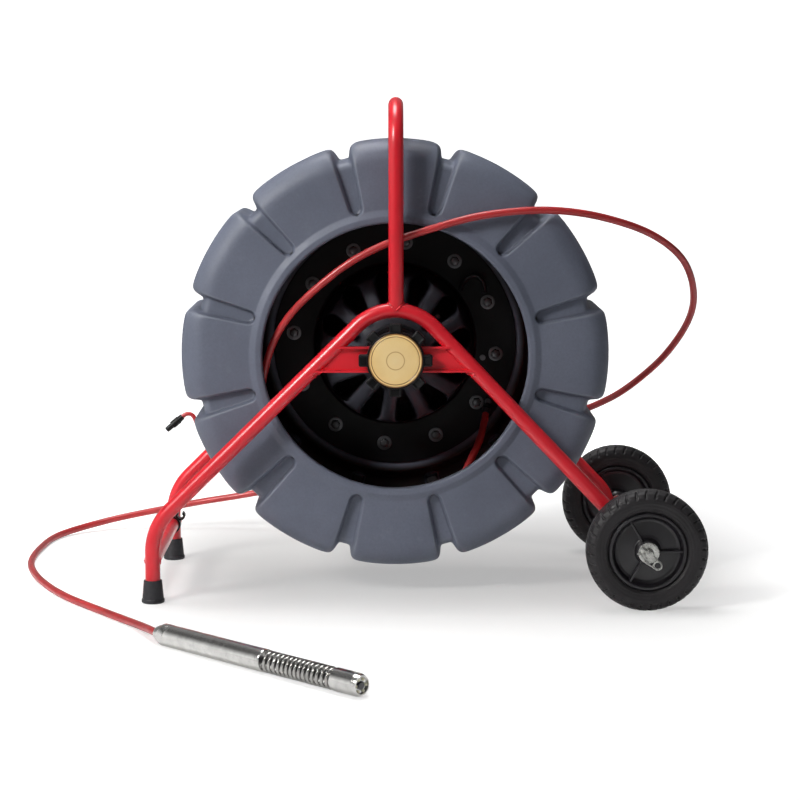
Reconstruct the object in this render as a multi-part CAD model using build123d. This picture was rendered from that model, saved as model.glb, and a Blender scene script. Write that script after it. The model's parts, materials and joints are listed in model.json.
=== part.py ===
from build123d import *
import math
import os

# Push-cable pipe inspection reel: a drum of cable in a wheeled tube frame, with the cable's
# free end led over the floor to a camera head. Units mm, +Z up; the knob side (front) faces
# -Y, the feet stand at -X (left) and the wheels at +X (right).
# Shapes are drawn from the floor point under the drum axis, midway between the two tube
# frames, and saved about the middle of the whole reel's footprint.

SHIFT_X, SHIFT_Y = 61.67, 142.15  # drawing origin to the middle of the footprint
SIDES = ((-1, "front"), (1, "rear"))

AXIS_Z = 363.5                    # drum axis height

# Frame
FRAME_Y = 163.3                   # frame planes at +/- this
TUBE_R, TUBE_RI = 11.1, 9.3       # outer and inner radius of the frame tube
FOOT_X = -360.2                   # left feet
FOOT_END_Z = 6.0
LEG_END_X, LEG_END_Z = 347.5, 74.0
LEG_LEFT = (-137.2, 332.4, 0.9857)    # x, z of a point on the straight leg, and its slope
LEG_RIGHT = (130.8, 332.2, -1.0475)
BEND_FOOT, BEND_ARCH, BEND_AXLE, BEND_HANDLE = 90.0, 78.3, 58.0, 62.0
HANDLE_Z = 733.7                  # centre line of the carrying handle
APEX_Z = 435.1                    # centre line of the leg arch
CROSS_Z = 62.0                    # tube that joins the two left feet
CHANNEL_FACE_Y = 165.0            # inward face of the cross channels
CHANNEL_DEPTH, CHANNEL_HEIGHT, CHANNEL_WALL = 10.0, 38.0, 3.0

# Wheels
AXLE_X, WHEEL_R = 366.6, 89.1
AXLE_R, AXLE_TUBE_R = 6.35, 9.5
AXLE_END_Y = 253.5
AXLE_TUBE_END_Y = 187.8
WHEEL_Y, HUB_HALF = 215.5, 26.0
PIN_Y = 247.6                     # hitch pin holes at +/- this
PIN_DIR = Vector(-0.7771, 0, 0.6293)  # direction of the hitch pins across the axle

# Drum
DRUM_R = 320.0
MOUTH_R = 197.0
DRUM_FRONT, DRUM_BACK = -128.0, 105.0  # front and back faces at the outer edge
DISH_BACK = 73.0                  # back face of the shell's recessed middle
WALL = 5.0
SHOULDER = 34.0
LOBES = 12
NOTCH_R = 299.0
GROOVE_DEPTH = 10.0
GROOVE_R = 226.0                  # centre of the grooves' round inner ends
HUB_FRONT, HUB_BACK = -138.0, 80.0
PLATE_Y, PLATE_THICK = 65.0, 3.0  # front face and thickness of the hub plate flange
POCKET_DEPTH = 4.0
BOLTS, BOLT_R = 12, 159.0
BOLT_PHASE = 6.0                  # degrees clockwise from the top, seen from the front
BOLT_SHANK_R = 4.0
WASHER_THICK = 1.6
BOLT_SEAT_Y = PLATE_Y - WASHER_THICK
SHAFT_R = 10.0

# Cable wound in the drum: an outer layer and an inner one in its gaps
CABLE_R = 5.5
COIL_R1, COIL_R2 = 287.0, 277.3
COIL_START_Y, COIL_PITCH, COIL_TURNS = -98.0, 11.3, 17

# Camera head, lying on the floor
HEAD_START = Vector(-316.9, -433.2, 15.5)
HEAD_ANGLE = -45.07               # heading on the floor, degrees from +X
HEAD_R = 15.5
SLEEVE_LEN, SPRING_LEN, CAMERA_LEN = 209.3, 130.8, 46.7
FERRULE_LEN = 15.0
SPRING_WIRE_R, SPRING_TURNS, SPRING_GAP = 2.3, 15, 0.2

os.makedirs("parts", exist_ok=True)


# ---- helpers ----------------------------------------------------------------
def save(name, *shapes):
    """Write all the solids of the shapes to one file."""
    solids = [Pos(SHIFT_X, SHIFT_Y, 0) * solid for shape in shapes for solid in shape.solids()]
    out = solids[0] if len(solids) == 1 else Compound(children=solids)
    out.label = name
    export_step(out, f"parts/{name}.step")


def largest(shape):
    return max(shape.solids(), key=lambda solid: solid.volume)


# Round shapes along Y stand on the drum axis unless told otherwise.
def revolve_y(points, z=AXIS_Z, fillets=()):
    """Turn an (r, y) outline about a line along Y; fillets are ((r, y), radius)."""
    face = make_face(Polyline(*points, close=True))
    for (r, y), radius in fillets:
        corner = min(face.vertices(), key=lambda vertex: math.hypot(vertex.X - r, vertex.Y - y))
        face = fillet(corner, radius)
    return Pos(0, 0, z) * revolve(face, axis=Axis.Y, revolution_arc=360)


def cyl_y(radius, y0, y1, x=0.0, z=AXIS_Z):
    return Pos(x, (y0 + y1) / 2, z) * Rot(90, 0, 0) * Cylinder(radius, abs(y1 - y0))


def ring_y(outer_r, inner_r, y0, y1, x=0.0, z=AXIS_Z):
    bore = cyl_y(inner_r, min(y0, y1) - 1, max(y0, y1) + 1, x, z)
    return cyl_y(outer_r, y0, y1, x, z) - bore


def hexagon_y(radius, back_y, height, z=AXIS_Z):
    """Hexagonal prism that runs forward from back_y; radius is to its corners."""
    return Pos(0, back_y, z) * extrude(Plane.XZ * RegularPolygon(radius, 6), amount=height)


def polar_y(shape, count, phase=0.0, z=AXIS_Z):
    """Copies turned about a line along Y; phase in degrees clockwise from the front."""
    return [
        Pos(0, 0, z) * Rot(0, phase + 360 / count * k, 0) * Pos(0, 0, -z) * shape
        for k in range(count)
    ]


def rod(start, end, radius):
    start, end = Vector(*start), Vector(*end)
    span = end - start
    return Plane(origin=start, z_dir=span) * Pos(0, 0, span.length / 2) * Cylinder(
        radius, span.length)


def half_angle(dir_a, dir_b):
    return math.acos(max(-1, min(1, dir_a.dot(dir_b)))) / 2


def rounded_wire(points, radii):
    """Polyline whose inner corners are rounded, each with its own radius."""
    points = [Vector(*p) for p in points]
    edges, last = [], points[0]
    for before, corner, after, radius in zip(points, points[1:], points[2:], radii):
        dir_a, dir_b = (before - corner).normalized(), (after - corner).normalized()
        half = half_angle(dir_a, dir_b)
        setback = radius / math.tan(half)
        start, end = corner + dir_a * setback, corner + dir_b * setback
        middle = corner + (dir_a + dir_b).normalized() * (radius / math.sin(half) - radius)
        edges += [Line(last, start), ThreePointArc(start, middle, end)]
        last = end
    edges.append(Line(last, points[-1]))
    return Wire([e.edge() for e in edges])


def tube(wire, outer_r, inner_r=None):
    """Sweep a circle along the wire; hollow if an inner radius is given."""
    plane = Plane(origin=wire.position_at(0), z_dir=wire.tangent_at(0))
    outer = sweep(plane * Circle(outer_r), path=wire)
    if inner_r is None:
        return outer
    return outer - sweep(plane * Circle(inner_r), path=wire)


def cord(points, radius, lead_in=None, lead_out=None, step=None):
    """Round cord whose corners are rounded as widely as their legs allow.

    step resamples a spline through the points; lead_in and lead_out are straight
    vectors that set the direction of the two ends.
    """
    points = [Vector(*p) for p in points]
    if step:
        curve = Spline(*points).edge()
        count = max(3, round(curve.length / step))
        points = [curve.position_at(i / count) for i in range(count + 1)]
    if lead_in:
        points.insert(1, points[0] + lead_in)
    if lead_out:
        points.insert(-1, points[-1] - lead_out)
    radii = []
    for i in range(1, len(points) - 1):
        leg_a, leg_b = points[i - 1] - points[i], points[i + 1] - points[i]
        # legs between two corners are shared by both
        reach_a = leg_a.length if i == 1 else leg_a.length / 2
        reach_b = leg_b.length if i == len(points) - 2 else leg_b.length / 2
        half = half_angle(leg_a.normalized(), leg_b.normalized())
        radii.append(0.97 * min(reach_a, reach_b) * math.tan(half))
    return tube(rounded_wire(points, radii), radius)


# ---- tube frames ------------------------------------------------------------
def leg_z(leg, x):
    return leg[1] + leg[2] * (x - leg[0])


def leg_x(leg, z):
    return leg[0] + (z - leg[1]) / leg[2]


# where the two straight legs would meet
apex_x = (leg_z(LEG_RIGHT, 0) - leg_z(LEG_LEFT, 0)) / (LEG_LEFT[2] - LEG_RIGHT[2])


def frame_tube(y, inner_r):
    wire = rounded_wire([
        (FOOT_X, y, FOOT_END_Z),
        (FOOT_X, y, leg_z(LEG_LEFT, FOOT_X)),
        (apex_x, y, leg_z(LEG_LEFT, apex_x)),
        (LEG_END_X, y, leg_z(LEG_RIGHT, LEG_END_X)),
        (LEG_END_X, y, LEG_END_Z),
    ], [BEND_FOOT, BEND_ARCH, BEND_AXLE])
    return tube(wire, TUBE_R, inner_r)


solid_frames = {side: frame_tube(side * FRAME_Y, None) for side, _ in SIDES}
axle_tube = cyl_y(AXLE_TUBE_R, -AXLE_TUBE_END_Y, AXLE_TUBE_END_Y, AXLE_X, WHEEL_R)

# frame tubes, with the lower end of the right leg closed
END_THICK = 2.0
for side, tag in SIDES:
    frame = frame_tube(side * FRAME_Y, TUBE_RI) - axle_tube
    end_disc = Pos(LEG_END_X, side * FRAME_Y, LEG_END_Z + END_THICK / 2) * Cylinder(
        TUBE_RI, END_THICK)
    save(f"{tag}_frame_tube", frame + (end_disc - axle_tube))

# carrying handle
handle = tube(rounded_wire([
    (apex_x, -FRAME_Y, APEX_Z),
    (apex_x, -FRAME_Y, HANDLE_Z),
    (apex_x, FRAME_Y, HANDLE_Z),
    (apex_x, FRAME_Y, APEX_Z),
], [BEND_HANDLE, BEND_HANDLE]), TUBE_R, TUBE_RI)
save("handle_tube", largest(handle - solid_frames[-1] - solid_frames[1]))

# channel cross members that carry the shaft, open away from the drum
z0, z1 = AXIS_Z - CHANNEL_HEIGHT / 2, AXIS_Z + CHANNEL_HEIGHT / 2
outline = make_face(Polyline(
    (leg_x(LEG_LEFT, z0), z0), (leg_x(LEG_RIGHT, z0), z0),
    (leg_x(LEG_RIGHT, z1), z1), (leg_x(LEG_LEFT, z1), z1), close=True))
channel = Pos(0, -CHANNEL_FACE_Y, 0) * extrude(Plane.XZ * outline, amount=CHANNEL_DEPTH)
trough = Box(400, CHANNEL_DEPTH, CHANNEL_HEIGHT - 2 * CHANNEL_WALL)
channel = channel - Pos(0, -CHANNEL_FACE_Y - CHANNEL_WALL - CHANNEL_DEPTH / 2, AXIS_Z) * trough
front_channel = channel - cyl_y(15.05, -180, -140)
rear_channel = mirror(channel, about=Plane.XZ) - cyl_y(SHAFT_R + 0.1, 140, 185)
save("front_cross_channel", largest(front_channel - solid_frames[-1]))
save("rear_cross_channel", largest(rear_channel - solid_frames[1]))

# cross tubes at the feet and round the axle
foot_cross = ring_y(TUBE_R, TUBE_RI, -FRAME_Y, FRAME_Y, FOOT_X, CROSS_Z)
save("foot_cross_tube", largest(foot_cross - solid_frames[-1] - solid_frames[1]))
save("axle_cross_tube", axle_tube - cyl_y(AXLE_R + 0.05, -190, 190, AXLE_X, WHEEL_R))

# foot caps: tapered, with a rim at the floor
cap = Pos(0, 0, 17.0) * Cone(16.2, 13.6, 34.0) + Pos(0, 0, 2.5) * Cylinder(17.0, 5.0)
cap = fillet(cap.edges().group_by(Axis.Z)[0], 1.2)
cap = cap - Pos(0, 0, FOOT_END_Z + 19.0) * Cylinder(TUBE_R, 38.0)
for side, tag in SIDES:
    save(f"foot_cap_{tag}", Pos(FOOT_X, side * FRAME_Y, 0) * cap)

# clip on the foot cross tube: a split ring with a small open hook above its right side
CLIP_Y0, CLIP_Y1 = 128.0, 142.0
CLIP_Y = (CLIP_Y0 + CLIP_Y1) / 2
HOOK_X = FOOT_X + 14.0
clip = ring_y(TUBE_R + 3.0, TUBE_R, CLIP_Y0, CLIP_Y1, FOOT_X, CROSS_Z)
clip = clip - Pos(FOOT_X - 12.0, CLIP_Y, CROSS_Z - 12.0) * Rot(0, 45, 0) * Box(14, 20, 40)
hook = ring_y(7.4, 4.2, CLIP_Y0, CLIP_Y1, HOOK_X, CROSS_Z + 14.6)
hook = hook - Pos(HOOK_X, CLIP_Y, CROSS_Z + 24.0) * Box(7, 20, 12)
hook = hook - cyl_y(TUBE_R + 1.0, 120, 150, FOOT_X, CROSS_Z)
save("cable_clip", largest(clip + hook))


# ---- wheels -----------------------------------------------------------------
def on_axle(shape):
    return Pos(AXLE_X, 0, WHEEL_R) * shape


# axle, cross-drilled near both ends
axle = cyl_y(AXLE_R, -AXLE_END_Y, AXLE_END_Y, z=0)
axle = chamfer(axle.edges().filter_by(GeomType.CIRCLE), 1.2)
for side, _ in SIDES:
    hole_centre = Vector(0, side * PIN_Y, 0)
    axle = axle - rod(hole_centre - PIN_DIR * 20, hole_centre + PIN_DIR * 20, 1.5)
save("wheel_axle", on_axle(axle))

# washers outside and inside each wheel: radius, near y, far y
WASHERS = [(15.3, 241.7, 243.5), (11.0, 188.0, 189.3)]
save("axle_washers", *[
    ring_y(radius, AXLE_R + 0.15, side * near_y, side * far_y, AXLE_X, WHEEL_R)
    for side, _ in SIDES for radius, near_y, far_y in WASHERS])


def hitch_pin(side):
    """Straight leg through the axle, a ring of one and a half turns, and a bent tail."""
    y = side * PIN_Y
    ring_x, ring_z, ring_r, ring_pitch = 12.1, -17.0, 5.8, 2.8
    points = [PIN_DIR * 17 + Vector(0, y, 0)]
    for k in range(18):
        turned = 15 + 30 * k
        angle = math.radians(51.0 - turned)
        points.append((ring_x + ring_r * math.cos(angle),
                       y + side * ring_pitch * turned / 360,
                       ring_z + ring_r * math.sin(angle)))
    tail = [(2.0, -16.6), (-5.5, -12.2), (-9.2, -6.4), (-12.4, -1.4), (-18.4, 0.8)]
    points += [(x, y + side * 4.2, z) for x, z in tail]
    return cord(points, 1.3)


for side, tag in SIDES:
    save(f"hitch_pin_{tag}", on_axle(hitch_pin(side)))

# wheel outlines: radius, y from the wheel's middle plane
TYRE_OUTLINE = [
    (57.0, -16.0), (62.0, -20.5), (72.0, -22.0), (79.0, -21.0), (85.5, -17.0), (WHEEL_R, -10.0),
    (WHEEL_R, 10.0), (85.5, 17.0), (79.0, 21.0), (72.0, 22.0), (62.0, 20.5), (57.0, 16.0),
]
DISC_HALF = [
    (AXLE_R + 0.05, HUB_HALF), (13.0, HUB_HALF), (16.5, 22.0), (18.5, 10.0), (47.0, 8.0),
    (51.0, 19.0), (54.0, 20.0), (57.0, 16.0),
]
disc_outline = [(r, -y) for r, y in DISC_HALF] + DISC_HALF[::-1]

# tyre with slanted tread cuts, staggered between its two edges
tread_cuts = []
for side in (-1, 1):
    cutter = Pos(0, side * 17.5, 88.6) * Rot(0, 0, side * 18) * Box(4.2, 14.0, 8.0)
    cutter = Pos(0, 0, WHEEL_R) * cutter
    tread_cuts += polar_y(cutter, 36, side * 2.5, WHEEL_R)
tyre = revolve_y(TYRE_OUTLINE, WHEEL_R) - tread_cuts

# wheel disc with three ribs on each face
disc = revolve_y(disc_outline, WHEEL_R)
for side in (-1, 1):
    rib = Pos(0, side * 12.5, WHEEL_R + 33.0) * Box(3.2, 11.0, 36.0)
    for placed in polar_y(rib, 3, 90, WHEEL_R):
        disc = disc + placed

for side, tag in SIDES:
    save(f"tyre_{tag}", Pos(AXLE_X, side * WHEEL_Y, 0) * tyre)
    save(f"wheel_disc_{tag}", Pos(AXLE_X, side * WHEEL_Y, 0) * disc)

# ---- drum -------------------------------------------------------------------
# outlines: radius, y
drum_outer = revolve_y([
    (MOUTH_R, -135), (209, -135), (212, -131), (DRUM_R, DRUM_FRONT), (DRUM_R, DRUM_BACK),
    (215, DRUM_BACK), (200, DISH_BACK), (140, DISH_BACK), (140, -100), (MOUTH_R, -100),
], fillets=[
    ((DRUM_R, DRUM_FRONT), SHOULDER), ((DRUM_R, DRUM_BACK), SHOULDER),
    ((215, DRUM_BACK), 8), ((200, DISH_BACK), 6), ((209, -135), 3.5),
])
bore_r, bore_front, bore_back = DRUM_R - WALL, DRUM_FRONT + WALL, DRUM_BACK - WALL
drum_inner = revolve_y([
    (120, -150), (MOUTH_R, -150), (MOUTH_R, -124), (bore_r, bore_front), (bore_r, bore_back),
    (218.5, bore_back), (203.3, DISH_BACK - WALL), (120, DISH_BACK - WALL),
], fillets=[
    ((bore_r, bore_front), SHOULDER - WALL), ((bore_r, bore_back), SHOULDER - WALL),
])


def notch_cuts(grow):
    """Rim notches and radial face grooves between the lobes, widened by grow."""
    floor_r, w0, w1 = NOTCH_R - grow, 9.5 + grow, 16.5 + grow
    slot = make_face(Polyline(
        (-w0, floor_r), (w0, floor_r), (w1, DRUM_R - 1), (w1 + 14, 345),
        (-w1 - 14, 345), (-w1, DRUM_R - 1), close=True))
    through = Pos(0, 0, AXIS_Z) * extrude(Plane.XZ * slot, amount=160, both=True)
    w0, w1 = 10 + grow, 14.5 + grow
    groove = make_face(Polyline(
        (-w0, GROOVE_R), (w0, GROOVE_R), (w1, 335), (-w1, 335), close=True))
    groove = groove + Pos(0, GROOVE_R) * Circle(w0)
    reach = 20  # half length of the groove cutters
    front_y = DRUM_FRONT + GROOVE_DEPTH + grow - reach
    back_y = DRUM_BACK - GROOVE_DEPTH - grow + reach
    cuts = [through]
    for y in (front_y, back_y):
        cuts.append(Pos(0, y, AXIS_Z) * extrude(Plane.XZ * groove, amount=reach, both=True))
    return [placed for cut in cuts for placed in polar_y(cut, LOBES, 180 / LOBES)]


bolt_holes = polar_y(cyl_y(4.5, 40, 100, z=AXIS_Z + BOLT_R), BOLTS, BOLT_PHASE)
shell = (drum_outer - notch_cuts(0.0)) - (drum_inner - notch_cuts(WALL))
save("drum_shell", largest(shell - bolt_holes))

# hub plate: a cone from the front hub to the bolted flange at the back
plate_back = PLATE_Y + PLATE_THICK
plate = revolve_y([
    (14.0, HUB_FRONT), (42, HUB_FRONT), (45, -135), (45, -100), (115, -20), (125, PLATE_Y),
    (190, PLATE_Y), (190, plate_back), (121, plate_back), (110.5, -14), (47, -86.5),
    (30, -82), (30, HUB_BACK), (14.0, HUB_BACK),
], fillets=[((115, -20), 10), ((125, PLATE_Y), 3), ((45, -100), 6)])
# plane on the cone's outer face, midway between (45, -100) and (115, -20)
cone_plane = Plane(origin=(0, -60, AXIS_Z + 80), x_dir=(1, 0, 0),
                   z_dir=Vector(0, -70, 80).normalized())
pocket = extrude(SlotCenterToCenter(30, 25, rotation=90), amount=10, both=True)
pocket = cone_plane * Pos(0, 0, 10.0 - POCKET_DEPTH) * pocket
plate = plate - polar_y(pocket, 12, BOLT_PHASE + 15)
for web in polar_y(Pos(0, 20, AXIS_Z + 70) * Box(4, 70, 86), 6, BOLT_PHASE):
    plate = plate + web
save("hub_plate", largest(plate - bolt_holes))

# bolts, washers and nuts of the flange
bolt_z = AXIS_Z + BOLT_R
bolt = hexagon_y(7.5, BOLT_SEAT_Y, 5.3, bolt_z)
bolt = bolt + cyl_y(BOLT_SHANK_R, BOLT_SEAT_Y - 0.1, 84.0, z=bolt_z)
save("hub_bolts", *polar_y(bolt, BOLTS, BOLT_PHASE))
washer = ring_y(11.5, 4.3, BOLT_SEAT_Y, PLATE_Y, z=bolt_z)
save("hub_washers", *polar_y(washer, BOLTS, BOLT_PHASE))
nut = hexagon_y(7.5, DISH_BACK + 6.5, 6.5, bolt_z)
nut = nut - cyl_y(BOLT_SHANK_R + 0.03, 70, 90, z=bolt_z)
save("hub_nuts", *polar_y(nut, BOLTS, BOLT_PHASE))

# flanged bushes in both ends of the hub
save("front_bush", ring_y(14.0, SHAFT_R + 0.05, HUB_FRONT, -112)
     + ring_y(36.0, SHAFT_R + 0.05, HUB_FRONT - 1, HUB_FRONT))
save("rear_bush", ring_y(14.0, SHAFT_R + 0.05, 55, HUB_BACK)
     + ring_y(24.0, SHAFT_R + 0.05, HUB_BACK, HUB_BACK + 1))


# wound cable, one ring per turn
def coil_layer(radius, first_y, turns):
    return [Pos(0, first_y + i * COIL_PITCH, AXIS_Z) * Rot(90, 0, 0) * Torus(radius, CABLE_R)
            for i in range(turns)]


save("cable_coil", *coil_layer(COIL_R1, COIL_START_Y, COIL_TURNS),
     *coil_layer(COIL_R2, COIL_START_Y + COIL_PITCH / 2, COIL_TURNS - 1))

# inner end of the cable, and its sleeve and gland at the hub plate
sleeve_base, sleeve_tip = Vector(140, 38, 244), Vector(146.5, 61.0, 272.5)
sleeve_dir = (sleeve_tip - sleeve_base).normalized()


def on_sleeve(distance):
    return sleeve_base + sleeve_dir * distance


save("termination_lead", cord([
    (20, -46, 101.5), (62, -44, 120), (98, -34, 158), (118, -17, 194), (131, 12, 216),
    on_sleeve(13),
], CABLE_R, lead_out=sleeve_dir * 12))
save("lead_sleeve", rod(on_sleeve(13.02), on_sleeve(23), 7.0)
     + rod(on_sleeve(23), sleeve_tip, 4.4))
gland = rod((sleeve_tip.X, 56.0, sleeve_tip.Z), (sleeve_tip.X, PLATE_Y, sleeve_tip.Z), 6.2)
gland = gland - rod(on_sleeve(20), sleeve_tip + sleeve_dir * 0.1, 4.45)
gland = gland - rod(on_sleeve(10), on_sleeve(23.1), 7.1)
save("lead_gland", largest(gland))

# small loop standing on the flange, trimmed flush with its front face
loop = cord([
    (104.8, 64.9, 447.4), (105.6, 54, 456), (113, 47, 467), (125, 45, 471.5),
    (136, 48, 463), (140, 56, 452), (140.8, 64.9, 444.3),
], 3.4)
save("lead_loop", largest(loop - Pos(125, PLATE_Y + 10, 455) * Box(80, 20, 80)))

# slotted screws: one on the flange, one on the floor of a cone pocket
SCREW_H, SLOT_W, SLOT_H, SLOT_LEN = 2.4, 1.1, 1.6, 7.0
screw_x, screw_z, screw_y = 137.8, 340.7, PLATE_Y - SCREW_H
flange_screw = cyl_y(4.6, screw_y, PLATE_Y, screw_x, screw_z)
flange_screw = flange_screw - Pos(screw_x, screw_y, screw_z) * Box(SLOT_W, SLOT_H, SLOT_LEN)
cone_screw = Cylinder(4.2, SCREW_H) - Pos(0, 0, SCREW_H / 2) * Box(SLOT_W, SLOT_LEN, SLOT_H)
cone_screw = cone_plane * (Pos(0, 8.0, SCREW_H / 2 - POCKET_DEPTH) * cone_screw)
save("plate_screws", flange_screw, *polar_y(cone_screw, 1, BOLT_PHASE + 45))

# ---- shaft, brake and knob --------------------------------------------------
KNOB_FRONT, KNOB_BACK = -189.5, -177.0
FLANGE_FRONT, FLANGE_BACK = -146.0, -143.0  # flange of the brake sleeve

save("hub_shaft", cyl_y(SHAFT_R, -175, 180) + cyl_y(8.0, -187, -175))
save("shaft_nut", hexagon_y(17.0, 168.1 + 9.0, 9.0) - cyl_y(SHAFT_R + 0.03, 150, 185))
save("brake_sleeve", ring_y(15.0, SHAFT_R + 0.05, KNOB_BACK, FLANGE_FRONT)
     + ring_y(34.0, SHAFT_R + 0.05, FLANGE_FRONT, FLANGE_BACK))
save("brake_pad", ring_y(34.0, 12.0, FLANGE_BACK, -140.02))

# star knob with eight lugs, and the disc on its front
knob = cyl_y(42.6, KNOB_FRONT, KNOB_BACK)
lug = Pos(0, -183.0, AXIS_Z + 45.0) * Box(18.0, 11.5, 18.0)
lug = fillet(lug.edges().filter_by(Axis.Y).group_by(Axis.Z)[-1], 3.0)
for placed in polar_y(lug, 8):
    knob = knob + placed
save("star_knob", knob - cyl_y(8.05, -188.5, -170))
knob_disc = cyl_y(39.2, -191.2, KNOB_FRONT)
front_edge = knob_disc.edges().filter_by(GeomType.CIRCLE).sort_by(Axis.Y)[0]
save("knob_disc", chamfer(front_edge, 0.6))

# ---- slip ring and signal lead ----------------------------------------------
HOUSING_FRONT, HOUSING_BACK, COVER_BACK = 94.0, 140.0, 146.0

save("slip_ring_rotor", ring_y(36.0, SHAFT_R + 0.6, 81.2, 93.0)
     + ring_y(24.5, SHAFT_R + 0.6, 81.0, 81.3))

# housing with a side stub for the lead
shaft_bore = cyl_y(SHAFT_R + 0.02, 90, 150)
stub_in, stub_out = Vector(-40, 125, AXIS_Z - 8), Vector(-58, 125, AXIS_Z - 14)
housing = cyl_y(46.0, HOUSING_FRONT, HOUSING_BACK) - shaft_bore
rims = housing.edges().filter_by(GeomType.CIRCLE).group_by(SortBy.RADIUS)[-1]
housing = fillet(rims, 3.0)
save("slip_ring_housing", housing + rod(stub_in, stub_out, 9.0) - shaft_bore)
save("slip_ring_cover", ring_y(38.0, SHAFT_R + 0.02, HOUSING_BACK, COVER_BACK)
     + ring_y(14.0, SHAFT_R + 0.02, COVER_BACK, 164.95))

stub_dir = (stub_out - stub_in).normalized()
relief_end = stub_out + stub_dir * 20
save("strain_relief", rod(stub_out, relief_end, 6.2))
plug_dir = Vector(-22.0, 0, -18.7).normalized()
plug_start = Vector(-340.0, 126, 239.3)
save("signal_lead", cord([
    relief_end, (-128, 126, 280), (-175, 128, 228), (-250, 128, 203), (-303, 128, 195),
    (-316, 127, 222), plug_start - plug_dir * 18, plug_start,
], 3.3, lead_in=stub_dir * 25))
save("signal_plug", rod(plug_start, plug_start + plug_dir * 8, 5.0)
     + rod(plug_start + plug_dir * 8, plug_start + plug_dir * 22, 6.2)
     + rod(plug_start + plug_dir * 22, plug_start + plug_dir * 34, 4.5))

# ---- free push cable --------------------------------------------------------
# x, y, z from inside the drum, out over its front, round the right and down to the floor
# behind, then round the left to the camera head
CABLE_POINTS = [
    (-166, -62, 160), (-197, -76, 215), (-205, -86, 268), (-199, -97, 322),
    (-184, -108, 378), (-160, -121, 420), (-139, -131, 444), (-100, -139, 479),
    (-68, -142.5, 503), (-30, -143.5, 524), (0, -143.6, 536), (50, -144, 552),
    (109, -144.5, 569), (152, -144, 576), (200, -141, 580), (242, -133, 579),
    (302, -112, 569.5), (385, -66, 541), (440, -18, 499), (465, 40, 441), (463, 88, 395),
    (434, 140, 336), (398, 182, 293), (369, 215, 265), (338, 248, 243), (260, 300, 205),
    (150, 345, 165), (0, 380, 122), (-140, 402, 88), (-243, 410, 65.7), (-287, 418, 57),
    (-340, 425, 47.5), (-411, 427, 33.5), (-480, 418, 21), (-530, 392, 12),
    (-573, 335, 6.4), (-588, 222, 5.5), (-585, 108, 5.5), (-570, 36, 5.5),
    (-549, -28, 5.5), (-517, -102, 5.5), (-483, -163, 5.5), (-428, -243, 5.5),
    (-380, -312, 6.0), (-356, -357, 9.2), (-339.5, -395, 12.9),
]
heading = math.radians(HEAD_ANGLE)
head_dir = Vector(math.cos(heading), math.sin(heading), 0)
cable_end = HEAD_START - head_dir * FERRULE_LEN
save("push_cable", cord(CABLE_POINTS + [cable_end], CABLE_R, lead_out=head_dir * 9, step=58.0))

# ---- camera head ------------------------------------------------------------
HEAD_PLACE = Pos(*HEAD_START) * Rot(0, 0, HEAD_ANGLE)
# distances along the head from the start of the sleeve
spring_at = SLEEVE_LEN
camera_at = spring_at + SPRING_LEN
tip_at = camera_at + CAMERA_LEN
recess_at = tip_at - 3
body_r, groove_r = HEAD_R - 0.3, HEAD_R - 0.5


def turned(points):
    """Revolved piece on the head's own line; points are (distance, radius)."""
    face = make_face(Polyline(*points, close=True))
    return HEAD_PLACE * revolve(face, axis=Axis.X, revolution_arc=360)


save("cable_ferrule", turned([
    (-FERRULE_LEN, 0), (-FERRULE_LEN, 7.0), (-13.5, 8.6), (-9.0, 11.0), (-3.0, 13.0),
    (0, 13.4), (0, 0)]))
save("spring_sleeve", turned([
    (0, 0), (0, 13.4), (1.6, 15.0), (3.0, HEAD_R), (14, HEAD_R), (14.6, groove_r),
    (16.0, groove_r), (16.6, HEAD_R), (spring_at - 2, HEAD_R), (spring_at, HEAD_R - 1.5),
    (spring_at, 0)]))
save("camera_lead", turned([(spring_at, 0), (spring_at, 4.5), (camera_at, 4.5), (camera_at, 0)]))

# spring round the lead
pitch = (SPRING_LEN - 2 * SPRING_WIRE_R - 2 * SPRING_GAP) / SPRING_TURNS
helix = Helix(pitch=pitch, height=pitch * SPRING_TURNS, radius=HEAD_R - 0.5 - SPRING_WIRE_R)
section = Plane(origin=helix.position_at(0), z_dir=helix.tangent_at(0)) * Circle(SPRING_WIRE_R)
spring = sweep(section, path=Wire([helix.edge()]), is_frenet=True)
spring_place = HEAD_PLACE * Pos(spring_at + SPRING_WIRE_R + SPRING_GAP, 0, 0)
save("camera_spring", spring_place * Rot(0, 90, 0) * spring)

# camera body with a recessed face and a slot on top
body = turned([
    (camera_at, 0), (camera_at, 13.0), (camera_at + 2, body_r), (tip_at - 7, body_r),
    (tip_at - 2, 14.0), (tip_at, 13.2), (tip_at, 11.2), (recess_at, 11.2), (recess_at, 0)])
save("camera_body", body - HEAD_PLACE * (Pos(tip_at - 14, 0, 17.4) * Box(20, 8.0, 7.0)))
save("camera_window", turned([
    (recess_at, 0), (recess_at, 5.6), (tip_at - 0.8, 5.6), (tip_at - 0.8, 0)]))

# six LEDs round the window
LED_RING_R = 8.4
leds = []
for k in range(6):
    angle = math.radians(60 * k + 30)
    centre = Pos(tip_at - 1.9, LED_RING_R * math.cos(angle), LED_RING_R * math.sin(angle))
    leds.append(HEAD_PLACE * (centre * Rot(0, 90, 0) * Cylinder(2.0, 2.2)))
save("camera_leds", *leds)
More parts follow.
